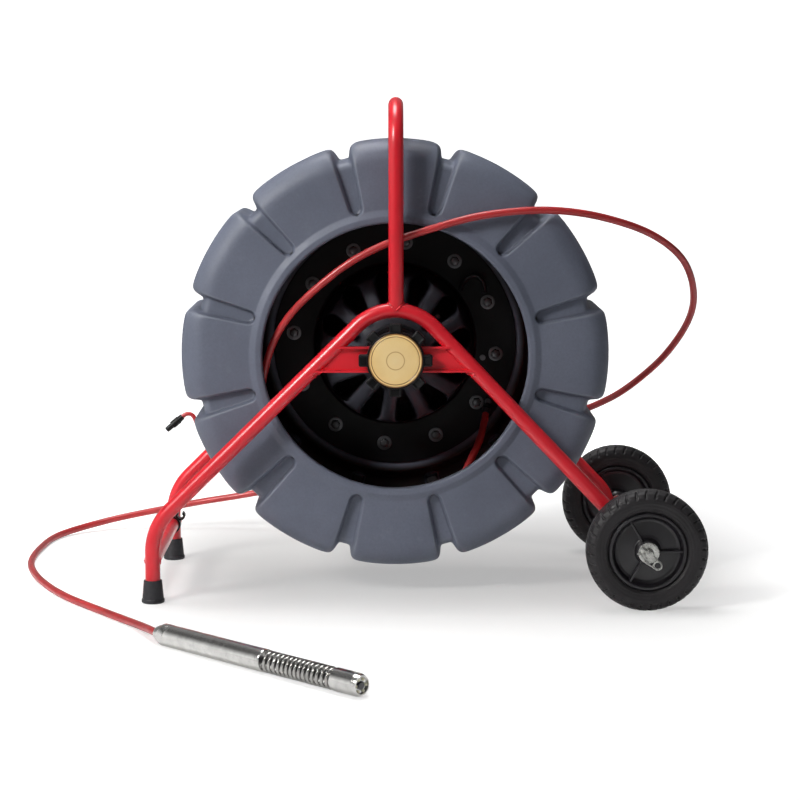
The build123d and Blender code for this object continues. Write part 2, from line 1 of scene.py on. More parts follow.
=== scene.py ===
# Push-cable camera reel: a lobed drum of cable turns in a red tube frame on two wheels.
# Shapes are in millimetres from the floor point under the drum axis: +X right, +Y rear, +Z up.
# The drum and wheel axes lie along Y, the foot stands at -X, the wheels at +X, the front is -Y.
# The free cable leaves the drum at the front, loops round the right and rear, and ends in a
# camera head that lies on the floor in front, at the left.
import bpy
import bmesh
import json
import math
import numpy as np
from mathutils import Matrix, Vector


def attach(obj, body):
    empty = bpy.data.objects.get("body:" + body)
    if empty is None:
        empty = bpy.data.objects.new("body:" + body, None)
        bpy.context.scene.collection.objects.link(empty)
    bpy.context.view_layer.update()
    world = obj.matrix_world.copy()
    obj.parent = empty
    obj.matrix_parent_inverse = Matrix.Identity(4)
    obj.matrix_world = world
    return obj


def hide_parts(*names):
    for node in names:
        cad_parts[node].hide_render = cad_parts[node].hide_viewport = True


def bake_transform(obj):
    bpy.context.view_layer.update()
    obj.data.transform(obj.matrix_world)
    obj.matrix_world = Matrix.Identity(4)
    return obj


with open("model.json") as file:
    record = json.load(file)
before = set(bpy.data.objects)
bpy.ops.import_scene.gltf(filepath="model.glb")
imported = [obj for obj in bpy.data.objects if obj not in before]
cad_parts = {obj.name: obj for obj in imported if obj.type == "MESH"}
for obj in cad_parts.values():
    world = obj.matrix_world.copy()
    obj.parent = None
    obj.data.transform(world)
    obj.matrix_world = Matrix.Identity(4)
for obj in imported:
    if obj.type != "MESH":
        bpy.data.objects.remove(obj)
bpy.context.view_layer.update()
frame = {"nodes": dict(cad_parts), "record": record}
rng = np.random.default_rng(7)

# ---------------------------------------------------------------- main dimensions (mm)
JOINTS = frame["record"]["behaviour"]["joints"]
DRUM_POS = next(j["pos_m"] for j in JOINTS if j["name"] == "drum_spin")
ORIGIN = np.array([DRUM_POS[0] * 1000, DRUM_POS[1] * 1000, 0.0])  # floor point under the drum
ORIGIN_M = ORIGIN / 1000
AXIS_Z = 363.5          # drum axis height
FRAME_Y = 163.3         # leg centre planes at +-FRAME_Y
TUBE_R = 11.1
FOOT_X, LEG_END_X = -360.2, 347.5
FOOT_TUBE_Z = 62.0
LEFT_LEG = (-137.2, 332.4, 0.9857)    # x, z and slope of each leg's straight line
RIGHT_LEG = (130.8, 332.2, -1.0475)
HANDLE_Z = 733.7
LEG_TOP_Z = 435.1       # tube centre at the top of the leg bend
AXLE_X, WHEEL_R, WHEEL_Y = 366.6, 89.1, 215.5
AXLE_R = 6.35
CABLE_R = 5.5
HEAD_R = 15.5
HEAD = np.array([-316.9, -433.2, HEAD_R])   # rear end of the camera sleeve
HEAD_ANGLE = math.radians(-45.07)
HEAD_DIR = np.array([math.cos(HEAD_ANGLE), math.sin(HEAD_ANGLE), 0.0])
FERRULE = 15.0          # ferrule length behind HEAD
# ends of the sleeve, spring and camera body, measured from HEAD
SLEEVE_END, SPRING_END, CAMERA_END = 209.3, 340.1, 386.8
LOBE_PITCH = 30.0       # degrees between drum grooves, and between hub ribs
HUB_TURN = 6.0          # degrees from the top to the first hub bolt
BOLT_CIRCLE_R = 159.0
CORE = 0.001            # radius that closes a turned section at its axis
SIDES = ((-1, "front"), (1, "rear"))


# ---------------------------------------------------------------- shader graph helpers
class Graph:
    """Short calls for adding nodes to a node tree."""

    def __init__(self, tree):
        self.tree = tree

    def node(self, kind):
        return self.tree.nodes.new("ShaderNode" + kind)

    def feed(self, socket, value):
        """Link a socket, or set a number or an RGB colour."""
        if isinstance(value, bpy.types.NodeSocket):
            self.tree.links.new(value, socket)
        else:
            socket.default_value = (*value, 1) if isinstance(value, tuple) else value

    def coords(self, scale=(1, 1, 1)):
        source = self.node("TexCoord")
        mapping = self.node("Mapping")
        mapping.inputs["Scale"].default_value = scale
        self.feed(mapping.inputs["Vector"], source.outputs["Object"])
        return mapping.outputs["Vector"]

    def xyz(self, space="Object"):
        split = self.node("SeparateXYZ")
        self.feed(split.inputs[0], self.node("TexCoord").outputs[space])
        return split.outputs

    def noise(self, vector, scale, detail=3.0, roughness=0.55):
        noise = self.node("TexNoise")
        noise.inputs["Scale"].default_value = scale
        noise.inputs["Detail"].default_value = detail
        noise.inputs["Roughness"].default_value = roughness
        self.feed(noise.inputs["Vector"], vector)
        return noise.outputs[0]

    def ramp(self, factor, stops):
        """Colour ramp; each stop is (position, grey or RGB)."""
        ramp = self.node("ValToRGB")
        elements = ramp.color_ramp.elements
        while len(elements) < len(stops):
            elements.new(0.5)
        for element, (position, colour) in zip(elements, stops):
            element.position = position
            element.color = (*colour, 1) if isinstance(colour, tuple) else (*[colour] * 3, 1)
        self.feed(ramp.inputs[0], factor)
        return ramp.outputs[0]

    def remap(self, value, to, span=(0.3, 0.7)):
        """Linear map of span onto to, clamped; the default span suits noise."""
        remap = self.node("MapRange")
        for i, number in enumerate((*span, *to)):
            remap.inputs[i + 1].default_value = number
        self.feed(remap.inputs[0], value)
        return remap.outputs[0]

    def mix(self, factor, first, second):
        mix = self.node("Mix")
        mix.data_type = "RGBA"
        for i, value in ((0, factor), (6, first), (7, second)):
            self.feed(mix.inputs[i], value)
        return mix.outputs[2]

    def math(self, operation, first, second=0.0):
        node = self.node("Math")
        node.operation = operation
        self.feed(node.inputs[0], first)
        self.feed(node.inputs[1], second)
        return node.outputs[0]

    def pointiness(self, span, to):
        """Mask from surface curvature: low in creases, high on edges."""
        return self.remap(self.node("NewGeometry").outputs["Pointiness"], span=span, to=to)

    def axis_radius(self, x, z):
        """Distance from the drum axis in mm."""
        dz = self.math("SUBTRACT", z, AXIS_Z / 1000)
        dx = self.math("SUBTRACT", x, float(ORIGIN_M[0]))
        squares = self.math("ADD", self.math("MULTIPLY", dx, dx), self.math("MULTIPLY", dz, dz))
        return self.math("MULTIPLY", self.math("SQRT", squares), 1000.0)


class Surface(Graph):
    """New material with one Principled shader."""

    def __init__(self, name):
        self.material = bpy.data.materials.new(name)
        self.material.use_nodes = True
        super().__init__(self.material.node_tree)
        self.tree.nodes.clear()
        output = self.node("OutputMaterial")
        self.shader = self.node("BsdfPrincipled")
        self.feed(output.inputs[0], self.shader.outputs[0])

    def set(self, inputs):
        for name, value in inputs.items():
            self.feed(self.shader.inputs[name], value)

    def coat(self, weight, roughness):
        self.set({"Coat Weight": weight, "Coat Roughness": roughness})

    def bump(self, height, strength, distance):
        bump = self.node("Bump")
        bump.inputs["Strength"].default_value = strength
        bump.inputs["Distance"].default_value = distance
        self.feed(bump.inputs["Height"], height)
        self.set({"Normal": bump.outputs[0]})


def brighten(colour, factor):
    return tuple(min(1.0, max(0.0, channel * factor)) for channel in colour)


# ---------------------------------------------------------------- materials
def plain(name, base, rough, scale=60, amount=0.12, fine=900, fine_strength=0.12,
          rough_vary=0.06, coat=0.0, coat_rough=0.1, specular=0.5, bump_depth=0.0004, sheen=0.0):
    """Mottled non-metal; scale and amount set the mottling, fine the grain."""
    s = Surface(name)
    vector = s.coords()
    s.set({"Base Color": s.ramp(s.noise(vector, scale=scale, detail=4), [
               (0.28, brighten(base, 1 - amount)), (0.5, base),
               (0.74, brighten(base, 1 + amount))]),
           "Roughness": s.remap(s.noise(vector, scale=scale * 2.7, detail=5),
                                to=(rough - rough_vary, rough + rough_vary)),
           "Specular IOR Level": specular})
    s.coat(weight=coat, roughness=coat_rough)
    if sheen:
        s.set({"Sheen Weight": sheen})
    s.bump(s.noise(vector, scale=fine, detail=2), strength=fine_strength, distance=bump_depth)
    return s.material


def metal(name, base, rough, fine_strength, fine=900):
    s = Surface(name)
    vector = s.coords()
    s.set({"Base Color": s.ramp(s.noise(vector, scale=90, detail=4), [
               (0.3, brighten(base, 0.86)), (0.55, base), (0.8, brighten(base, 1.08))]),
           "Roughness": s.remap(s.noise(vector, scale=220, detail=5, roughness=0.7),
                                to=(rough * 0.75, rough * 1.35)),
           "Metallic": 1.0})
    s.bump(s.noise(vector, scale=fine, detail=3), strength=fine_strength, distance=0.0003)
    return s.material


def red_paint():
    s = Surface("red_powder_coat")
    vector = s.coords()
    colour = s.ramp(s.noise(vector, scale=18, detail=4), [
        (0.3, (0.69, 0.011, 0.023)), (0.52, (0.74, 0.012, 0.025)), (0.75, (0.78, 0.015, 0.029))])
    dirt = s.noise(vector, scale=55, detail=6, roughness=0.65)
    colour = s.mix(s.remap(dirt, span=(0.66, 0.86), to=(0.0, 0.10)), colour, (0.40, 0.014, 0.02))
    s.set({"Base Color": colour,
           "Roughness": s.remap(s.noise(vector, scale=120, detail=4), to=(0.30, 0.40))})
    s.coat(weight=0.5, roughness=0.20)
    s.bump(s.noise(vector, scale=700, detail=2), strength=0.012, distance=0.0003)
    return s.material


def drum_plastic():
    """Slate plastic, speckled, scuffed, pale on edges; painted shade darkens creases, and the inner
    skin near black.
    """
    s = Surface("slate_rotomoulded")
    vector = s.coords()
    colour = s.ramp(s.noise(vector, scale=7, detail=5, roughness=0.6), [
        (0.3, (0.112, 0.126, 0.172)), (0.5, (0.128, 0.143, 0.194)), (0.7, (0.146, 0.162, 0.216))])
    speckle = s.noise(vector, scale=260, detail=3, roughness=0.7)
    colour = s.mix(s.remap(speckle, span=(0.35, 0.7), to=(0.0, 0.30)), colour,
                   (0.085, 0.096, 0.125))
    scuff = s.noise(s.coords(scale=(1, 6, 1)), scale=34, detail=6, roughness=0.7)
    colour = s.mix(s.remap(scuff, span=(0.62, 0.76), to=(0.0, 0.20)), colour, (0.24, 0.26, 0.30))
    colour = s.mix(s.pointiness(span=(0.515, 0.58), to=(0.0, 1.0)), colour, (0.21, 0.228, 0.268))
    # painted shade in creases and along the groove walls, where pointiness is low
    colour = s.mix(s.pointiness(span=(0.44, 0.492), to=(0.55, 0.0)), colour, (0.050, 0.055, 0.074))
    # painted shade: the skin that faces the cavity is darkened near black
    inner = s.node("Attribute")
    inner.attribute_name = "cavity_shade"
    colour = s.mix(inner.outputs["Fac"], colour, (0.014, 0.014, 0.016))
    s.set({"Base Color": colour,
           "Roughness": s.remap(s.noise(vector, scale=40, detail=4), to=(0.44, 0.58)),
           "Specular IOR Level": 0.5})
    grain = s.mix(0.45, s.noise(vector, scale=700, detail=3, roughness=0.6),
                  s.noise(vector, scale=150, detail=3, roughness=0.5))
    s.bump(grain, strength=0.22, distance=0.0012)
    return s.material


def rosette_plastic():
    """Ribs with a painted sheen that falls off into painted shade in the pockets, glossy black flange
    round them.
    """
    s = Surface("rosette_moulding")
    x, y, z = s.xyz()
    radius = s.axis_radius(x, z)
    flange = (108.0, 124.0)     # radii over which ribs give way to the flange
    y_mm = s.math("SUBTRACT", s.math("MULTIPLY", y, 1000.0), float(ORIGIN[1]))
    # the rib tops follow y = 1.147 * radius - 153
    rib_top = s.math("SUBTRACT", s.math("MULTIPLY", radius, 1.147), 153.0)
    # painted shade: colour darkens with depth below the rib tops, into the pockets
    depth = s.remap(s.math("SUBTRACT", y_mm, rib_top), span=(2.0, 20.0), to=(0.0, 1.0))
    vector = s.coords()
    # painted sheen: ribs lighter than the flange of the same plastic, darker towards the centre
    rib = s.ramp(s.noise(vector, scale=22, detail=4), [
        (0.3, (0.040, 0.042, 0.054)), (0.55, (0.050, 0.052, 0.066)), (0.8, (0.058, 0.061, 0.076))])
    rib = s.mix(depth, rib, (0.004, 0.004, 0.005))
    rib = s.mix(s.remap(radius, span=(44.0, 62.0), to=(0.75, 0.0)), rib, (0.008, 0.008, 0.010))
    edge = s.ramp(s.noise(vector, scale=14, detail=4), [
        (0.3, (0.0036, 0.0036, 0.0048)), (0.7, (0.0056, 0.0056, 0.0074))])
    s.set({"Base Color": s.mix(s.remap(radius, span=flange, to=(0.0, 1.0)), rib, edge),
           "Roughness": s.remap(s.noise(vector, scale=38, detail=5), to=(0.38, 0.48)),
           "Specular IOR Level": s.remap(radius, span=flange, to=(0.5, 0.24))})
    s.coat(weight=0.12, roughness=0.35)
    s.bump(s.noise(vector, scale=900, detail=2), strength=0.010, distance=0.0004)
    return s.material


def gold_disc():
    """Plain gold face with darker rings around the shaft axis."""
    s = Surface("gold_ringed_disc")
    x, _, z = s.xyz()
    radius = s.axis_radius(x, z)
    vector = s.coords()
    face = s.ramp(s.noise(vector, scale=30, detail=4), [
        (0.3, (0.88, 0.60, 0.24)), (0.55, (0.93, 0.66, 0.28)), (0.8, (0.95, 0.71, 0.34))])
    face = s.mix(s.remap(radius, span=(0.0, 34.0), to=(0.38, 0.0)), face, (0.98, 0.86, 0.56))

    def rings(stops):
        """Ring mask; stop positions are fractions of a 40 mm radius."""
        return s.ramp(s.remap(radius, span=(0.0, 40.0), to=(0.0, 1.0)), stops)

    outer = rings([(0.0, 0.0), (0.855, 0.0), (0.87, 1.0), (0.885, 1.0),
                   (0.90, 0.0), (0.935, 0.0), (0.955, 1.0), (1.0, 1.0)])
    inner = rings([(0.0, 0.0), (0.30, 0.0), (0.315, 0.7), (0.335, 0.7), (0.35, 0.0)])
    colour = s.mix(outer, face, (0.30, 0.13, 0.03))
    s.set({"Base Color": s.mix(inner, colour, (0.48, 0.22, 0.05)),
           "Roughness": s.remap(s.noise(vector, scale=90, detail=4), to=(0.30, 0.42))})
    s.coat(weight=0.5, roughness=0.15)
    s.bump(s.noise(vector, scale=600, detail=2), strength=0.06, distance=0.0003)
    return s.material


def camera_glass():
    s = Surface("camera_glass")
    vector = s.coords()
    s.set({"Base Color": s.ramp(s.noise(vector, scale=400, detail=3), [
               (0.3, (0.010, 0.012, 0.018)), (0.7, (0.03, 0.028, 0.045))]),
           "Roughness": s.remap(s.noise(vector, scale=700, detail=3), to=(0.02, 0.06))})
    s.coat(weight=1.0, roughness=0.02)
    return s.material


MAT = {
    "red_paint": red_paint(),
    "drum": drum_plastic(),
    "rosette": rosette_plastic(),
    "black_gloss": plain("black_gloss_moulding", (0.013, 0.013, 0.018), rough=0.40, scale=14,
                         amount=0.22, fine_strength=0.010, rough_vary=0.05,
                         coat=0.35, coat_rough=0.30),
    "black_knob": plain("black_knob_plastic", (0.0050, 0.0048, 0.0055), rough=0.36, scale=30,
                        amount=0.25, fine_strength=0.02, rough_vary=0.05, specular=0.28),
    "rubber": plain("black_cap_rubber", (0.022, 0.022, 0.026), rough=0.62, scale=80, amount=0.25,
                    fine_strength=0.22, rough_vary=0.08, bump_depth=0.0006),
    "tyre": plain("tyre_rubber", (0.0135, 0.0115, 0.0135), rough=0.52, scale=45, amount=0.3,
                  fine=650, fine_strength=0.3, rough_vary=0.10, bump_depth=0.0008, sheen=0.05),
    "wheel": plain("wheel_satin_plastic", (0.011, 0.0095, 0.0125), rough=0.36, scale=50,
                   amount=0.25, fine=520, fine_strength=0.05, coat=0.4, coat_rough=0.2),
    "zinc": metal("bright_zinc", (0.66, 0.66, 0.63), rough=0.27, fine_strength=0.06),
    "dark_steel": metal("black_oxide_steel", (0.22, 0.22, 0.23), rough=0.36, fine_strength=0.06),
    "stainless": metal("polished_stainless", (0.84, 0.83, 0.81), rough=0.17, fine_strength=0.012),
    "spring": metal("spring_wire", (0.58, 0.57, 0.55), rough=0.22, fine_strength=0.03),
    "gold": gold_disc(),
    "cable": plain("red_cable_jacket", (0.47, 0.028, 0.030), rough=0.34, scale=25, amount=0.14,
                   fine=800, fine_strength=0.10, coat=0.25, coat_rough=0.22),
    "black_lead": plain("black_lead_jacket", (0.018, 0.018, 0.020), rough=0.42, amount=0.3,
                        fine=800),
    "bush": plain("bearing_plastic", (0.62, 0.60, 0.54), rough=0.45, amount=0.08,
                  fine=800, fine_strength=0.1, rough_vary=0.05),
    "pad": plain("friction_lining", (0.10, 0.08, 0.07), rough=0.8, scale=400, amount=0.45,
                 fine=1500, fine_strength=0.5, rough_vary=0.08, bump_depth=0.0006),
    "led": plain("lamp_lens", (0.85, 0.82, 0.62), rough=0.12, scale=300, amount=0.10, fine=1800,
                 fine_strength=0.15, rough_vary=0.04, coat=1.0, coat_rough=0.03),
    "glass": camera_glass(),
}


# ---------------------------------------------------------------- mesh helpers
# A mesh is a pair (vertices in mm, faces).
def build(name, mesh, material, body, slot, *replaced, sharp=38.0):
    """Make the object; edges over sharp degrees stay hard. A body of None leaves it unattached."""
    verts, faces = mesh
    data = bpy.data.meshes.new(name)
    data.from_pydata(((np.asarray(verts, float) + ORIGIN) * 0.001).tolist(), [], faces)
    bm = bmesh.new()
    bm.from_mesh(data)
    bmesh.ops.remove_doubles(bm, verts=bm.verts, dist=2e-6)
    bmesh.ops.dissolve_degenerate(bm, edges=bm.edges, dist=1e-7)
    bmesh.ops.recalc_face_normals(bm, faces=bm.faces)
    for face in bm.faces:
        face.smooth = True
    for edge in bm.edges:
        if len(edge.link_faces) == 2:
            edge.smooth = edge.calc_face_angle(0.0) < math.radians(sharp)
    bm.to_mesh(data)
    bm.free()
    data.materials.append(MAT[material])
    obj = bpy.data.objects.new(name, data)
    bpy.context.scene.collection.objects.link(obj)
    if body:
        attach(obj, body)
    if replaced:
        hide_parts(*replaced)
    return obj


def join(meshes):
    verts, faces, count = [], [], 0
    for part_verts, part_faces in meshes:
        verts.append(part_verts)
        faces += [tuple(i + count for i in face) for face in part_faces]
        count += len(part_verts)
    return np.concatenate(verts), faces


def grid_faces(rows, columns, wrap_rows=True):
    """Quads over a grid whose columns close on themselves."""
    faces = []
    for i in range(rows if wrap_rows else rows - 1):
        i2 = (i + 1) % rows
        for j in range(columns):
            j2 = (j + 1) % columns
            faces.append((i * columns + j, i2 * columns + j, i2 * columns + j2, i * columns + j2))
    return faces


def unit(vectors):
    vectors = np.asarray(vectors, float)
    return vectors / np.linalg.norm(vectors, axis=-1, keepdims=True)


def around(count):
    return np.linspace(0, 2 * math.pi, count, endpoint=False)


def rounded(table, steps=6, radius=None):
    """Closed outline with rounded corners: rows (a, b, corner radius), or (a, b) with radius."""
    points = [np.array(row[:2], float) for row in table]
    out = []
    for i, point in enumerate(points):
        r = table[i][2] if radius is None else radius
        if r <= 0:
            out.append(point)
            continue
        back, ahead = points[i - 1] - point, points[(i + 1) % len(points)] - point
        back_len, ahead_len = np.linalg.norm(back), np.linalg.norm(ahead)
        back, ahead = back / back_len, ahead / ahead_len
        half = math.acos(max(-1, min(1, float(back @ ahead)))) / 2
        if half > math.radians(89):
            out.append(point)
            continue
        trim = min(r / math.tan(half), back_len * 0.49, ahead_len * 0.49)
        r = trim * math.tan(half)
        centre = point + unit(back + ahead) * (r / math.sin(half))
        start, end = point + back * trim - centre, point + ahead * trim - centre
        turn = math.acos(max(-1, min(1, float(start @ end) / (r * r))))
        if start[0] * end[1] - start[1] * end[0] <= 0:
            turn = -turn
        for k in range(steps + 1):
            c, s = math.cos(turn * k / steps), math.sin(turn * k / steps)
            out.append(centre + np.array([start[0] * c - start[1] * s,
                                          start[0] * s + start[1] * c]))
    return np.array(out)


def subdivide(outline, step):
    out = []
    for a, b in zip(outline, np.roll(outline, -1, 0)):
        pieces = max(1, int(math.ceil(np.linalg.norm(b - a) / step)))
        out += [a + (b - a) * j / pieces for j in range(pieces)]
    return np.array(out)


def outward_normals(outline):
    x, y = outline.T
    tangent = np.roll(outline, -1, 0) - np.roll(outline, 1, 0)
    normals = unit(np.stack([tangent[:, 1], -tangent[:, 0]], 1))
    area = np.sum(x * np.roll(y, -1) - np.roll(x, -1) * y)
    return -normals if area < 0 else normals


def past_point(outline, point):
    """Mask of the outline points after the one nearest to point."""
    nearest = int(np.argmin(np.hypot(outline[:, 0] - point[0], outline[:, 1] - point[1])))
    return np.arange(len(outline)) > nearest


def ring_section(r_in, r_out, y0, y1):
    return [(r_in, y0), (r_out, y0), (r_out, y1), (r_in, y1)]


def mirrored(half):
    """Section rows (r, y, ...) at -y, then the same rows back at +y."""
    return [(r, -y, *rest) for r, y, *rest in half] + list(half[::-1])


def revolve(angles, radii, ys, x0=0.0, z0=AXIS_Z):
    """Section turned about the Y line through (x0, z0); radii and ys may vary with angle."""
    x = x0 + radii * np.sin(angles)[:, None]
    z = z0 + radii * np.cos(angles)[:, None]
    verts = np.stack(np.broadcast_arrays(x, ys, z), axis=-1)
    return verts.reshape(-1, 3), grid_faces(*verts.shape[:2])


def lathe_y(section, segments, x0=0.0, z0=AXIS_Z):
    """Section rows (r, y)."""
    return revolve(around(segments), section[:, 0], section[:, 1], x0, z0)


def lathe_axis(section, origin, direction, segments):
    """Section rows (s, r) about the line origin + s * direction."""
    axis = unit(direction)
    side = np.cross(axis, [0, 0, 1.0])
    side = np.array([1.0, 0, 0]) if np.linalg.norm(side) < 1e-6 else unit(side)
    section = np.asarray(section, float)
    angles = around(segments)[:, None, None]
    radial = np.cos(angles) * side + np.sin(angles) * np.cross(axis, side)
    verts = np.asarray(origin, float) + section[:, :1] * axis + section[:, 1:] * radial
    return verts.reshape(-1, 3), grid_faces(segments, len(section))


def turned(mesh, degrees, x0=0.0, z0=AXIS_Z):
    """Mesh turned about the Y line through (x0, z0), clockwise as seen from the front."""
    verts, faces = mesh
    a = math.radians(degrees)
    x, z = verts[:, 0] - x0, verts[:, 2] - z0
    out = verts.copy()
    out[:, 0] = x0 + x * math.cos(a) + z * math.sin(a)
    out[:, 2] = z0 - x * math.sin(a) + z * math.cos(a)
    return out, faces


def prism_y(outline, rings):
    """Outline rows (x, z) carried through rings (y, inset), with closed ends."""
    normals = outward_normals(outline)
    mid_x, mid_z = outline.mean(0)
    verts = []
    for y, inset in rings:
        ring = outline - normals * inset
        verts.append(np.stack([ring[:, 0], np.full(len(ring), y), ring[:, 1]], 1))
    verts.append([[mid_x, rings[0][0], mid_z], [mid_x, rings[-1][0], mid_z]])
    n = len(outline)
    faces = grid_faces(len(rings), n, wrap_rows=False)
    first_centre = len(rings) * n
    last = first_centre - n
    for j in range(n):
        faces.append((first_centre, (j + 1) % n, j))
        faces.append((first_centre + 1, last + j, last + (j + 1) % n))
    return np.concatenate(verts), faces


def rounded_box(centre, size, radius, steps=4):
    core = np.array(size, float) / 2 - radius
    tangents = [math.tan(math.radians(45) * k / steps) for k in range(steps + 1)]
    stations = [(-1, -t) for t in tangents[::-1]] + [(1, t) for t in tangents]
    m = len(stations)
    verts, faces = [], []
    for axis in range(3):
        u, w = (axis + 1) % 3, (axis + 2) % 3
        for side in (-1, 1):
            base = len(verts)
            for sign_u, tan_u in stations:
                for sign_w, tan_w in stations:
                    direction, corner = np.zeros(3), np.zeros(3)
                    direction[[axis, u, w]] = side, tan_u, tan_w
                    corner[[axis, u, w]] = side, sign_u, sign_w
                    verts.append(np.array(centre) + corner * core + unit(direction) * radius)
            for i in range(m - 1):
                for j in range(m - 1):
                    a = base + i * m + j
                    quad = (a, a + m, a + m + 1, a + 1)
                    faces.append(quad if side > 0 else quad[::-1])
    return np.array(verts), faces


# ---------------------------------------------------------------- paths and tubes
def resample(path, step):
    length = np.r_[0, np.cumsum(np.linalg.norm(np.diff(path, axis=0), axis=1))]
    count = max(2, int(round(length[-1] / step)) + 1)
    stations = np.linspace(0, length[-1], count)
    return np.stack([np.interp(stations, length, path[:, k]) for k in range(3)], 1)


def smooth_path(path, passes):
    out = path.copy()
    for _ in range(passes):
        out[1:-1] = 0.25 * out[:-2] + 0.5 * out[1:-1] + 0.25 * out[2:]
    return out


def spline(points, step, passes):
    """Centripetal Catmull-Rom through the points, resampled by length, then smoothed."""
    P = [np.array(p, float) for p in points]
    P = [2 * P[0] - P[1]] + P + [2 * P[-1] - P[-2]]
    out = []
    for i in range(1, len(P) - 2):
        p0, p1, p2, p3 = P[i - 1:i + 3]
        t1 = np.linalg.norm(p1 - p0) ** 0.5
        t2 = t1 + np.linalg.norm(p2 - p1) ** 0.5
        t3 = t2 + np.linalg.norm(p3 - p2) ** 0.5
        count = max(4, int(np.linalg.norm(p2 - p1) / 2.0))
        for t in np.linspace(t1, t2, count, endpoint=False):
            a1 = (t1 - t) / t1 * p0 + t / t1 * p1
            a2 = (t2 - t) / (t2 - t1) * p1 + (t - t1) / (t2 - t1) * p2
            a3 = (t3 - t) / (t3 - t2) * p2 + (t - t2) / (t3 - t2) * p3
            b1 = (t2 - t) / t2 * a1 + t / t2 * a2
            b2 = (t3 - t) / (t3 - t1) * a2 + (t - t1) / (t3 - t1) * a3
            out.append((t2 - t) / (t2 - t1) * b1 + (t - t1) / (t2 - t1) * b2)
    out.append(P[-2])
    return smooth_path(resample(np.array(out), step), passes)


def slerp(start, end, turn, w):
    return (math.sin((1 - w) * turn) * start + math.sin(w * turn) * end) / math.sin(turn)


def bent_path(points, radii, steps=28):
    """Polyline with circular bends."""
    points = [np.array(p, float) for p in points]
    out = [points[0]]
    for back, p, ahead, radius in zip(points, points[1:], points[2:], radii):
        u, v = unit(back - p), unit(ahead - p)
        half = math.acos(float(u @ v)) / 2
        trim = radius / math.tan(half)
        centre = p + unit(u + v) * (radius / math.sin(half))
        start, end = p + u * trim - centre, p + v * trim - centre
        out += [centre + slerp(start, end, math.pi - 2 * half, k / steps)
                for k in range(steps + 1)]
    return np.array(out + [points[-1]])


def cord_path(points, step=1.8):
    """Straight lengths joined by arcs as large as the lengths allow."""
    points = [np.array(p, float) for p in points]
    out = [points[0]]
    for i in range(1, len(points) - 1):
        p = points[i]
        back, ahead = points[i - 1] - p, points[i + 1] - p
        back_len, ahead_len = np.linalg.norm(back), np.linalg.norm(ahead)
        reach = 0.97 * min(back_len if i == 1 else back_len / 2,
                           ahead_len if i == len(points) - 2 else ahead_len / 2)
        back, ahead = back / back_len, ahead / ahead_len
        half = math.acos(max(-1.0, min(1.0, float(back @ ahead)))) / 2
        radius = reach * math.tan(half)
        centre = p + unit(back + ahead) * (radius / math.sin(half))
        start = (p + back * reach - centre) / radius
        end = (p + ahead * reach - centre) / radius
        turn = math.acos(max(-1.0, min(1.0, float(start @ end))))
        n = max(3, int(radius * turn / step))
        out += [centre + radius * slerp(start, end, turn, k / n) for k in range(n + 1)]
    return smooth_path(resample(np.array(out + [points[-1]]), step), 3)


def sweep(path, radius, segments):
    """Round tube along a path, its ends closed and rounded; radius may vary by point."""
    path = np.asarray(path, float)
    radii = np.broadcast_to(np.asarray(radius, float), len(path))
    tangents = unit(np.gradient(path, axis=0))
    first = np.array([0, 0, 1.0]) if abs(tangents[0][2]) < 0.9 else np.array([0, 1.0, 0])
    normals = np.zeros_like(path)
    previous = first
    for i, tangent in enumerate(tangents):
        previous = unit(previous - tangent * (previous @ tangent))
        normals[i] = previous
    binormals = np.cross(tangents, normals)
    angles = around(segments)[:, None]

    def ring(i, shift=0.0, r=None):
        r = radii[i] if r is None else r
        return (path[i] + tangents[i] * shift
                + r * (np.cos(angles) * normals[i] + np.sin(angles) * binormals[i]))

    def end_cap(i, inward):
        """Rings from the middle of the end face to the full radius."""
        bevel = min(0.9, radii[i] * 0.35)
        rings = [ring(i, r=1e-4)]
        for j in range(5):
            w = j / 4 * math.pi / 2
            rings.append(ring(i, inward * bevel * (1 - math.cos(w)),
                              radii[i] - bevel + bevel * math.sin(w)))
        return rings

    body = [ring(i) for i in range(1, len(path) - 1)]
    verts = np.array(end_cap(0, 1) + body + end_cap(-1, -1)[::-1])
    return verts.reshape(-1, 3), grid_faces(len(verts), segments, wrap_rows=False)


# ---------------------------------------------------------------- relief helpers
def pchip(x, xs, ys):
    """Monotone cubic interpolation."""
    xs, ys = np.asarray(xs, float), np.asarray(ys, float)
    h = np.diff(xs)
    d = np.diff(ys) / h
    slope = np.zeros(len(xs))
    for i in range(1, len(xs) - 1):
        if d[i - 1] * d[i] > 0:
            w1, w2 = 2 * h[i] + h[i - 1], h[i] + 2 * h[i - 1]
            slope[i] = (w1 + w2) / (w1 / d[i - 1] + w2 / d[i])
    x = np.clip(x, xs[0], xs[-1])
    i = np.clip(np.searchsorted(xs, x) - 1, 0, len(h) - 1)
    t = (x - xs[i]) / h[i]
    return ((1 + 2 * t) * (1 - t) ** 2 * ys[i] + t * (1 - t) ** 2 * h[i] * slope[i]
            + t * t * (3 - 2 * t) * ys[i + 1] + t * t * (t - 1) * h[i] * slope[i + 1])


def smoothstep(value, low, high):
    t = np.clip((value - low) / (high - low), 0, 1)
    return t * t * (3 - 2 * t)


def lobe_angle(degrees):
    """Signed angle in radians from the middle of the sector."""
    return np.radians(degrees % LOBE_PITCH - LOBE_PITCH / 2)


def slot_edge(across, out, ends, half_widths, outer_round=False):
    """Distance beyond the rim of a tapered radial slot with a round inner end."""
    edge = np.abs(across) - np.interp(out, ends, half_widths)
    inner_end = np.hypot(across, out - ends[0]) - half_widths[0]
    edge = np.where(out < ends[0], inner_end, edge)
    if outer_round:
        outer_end = np.hypot(across, out - ends[1]) - half_widths[1]
        edge = np.where(out > ends[1], outer_end, edge)
    return edge


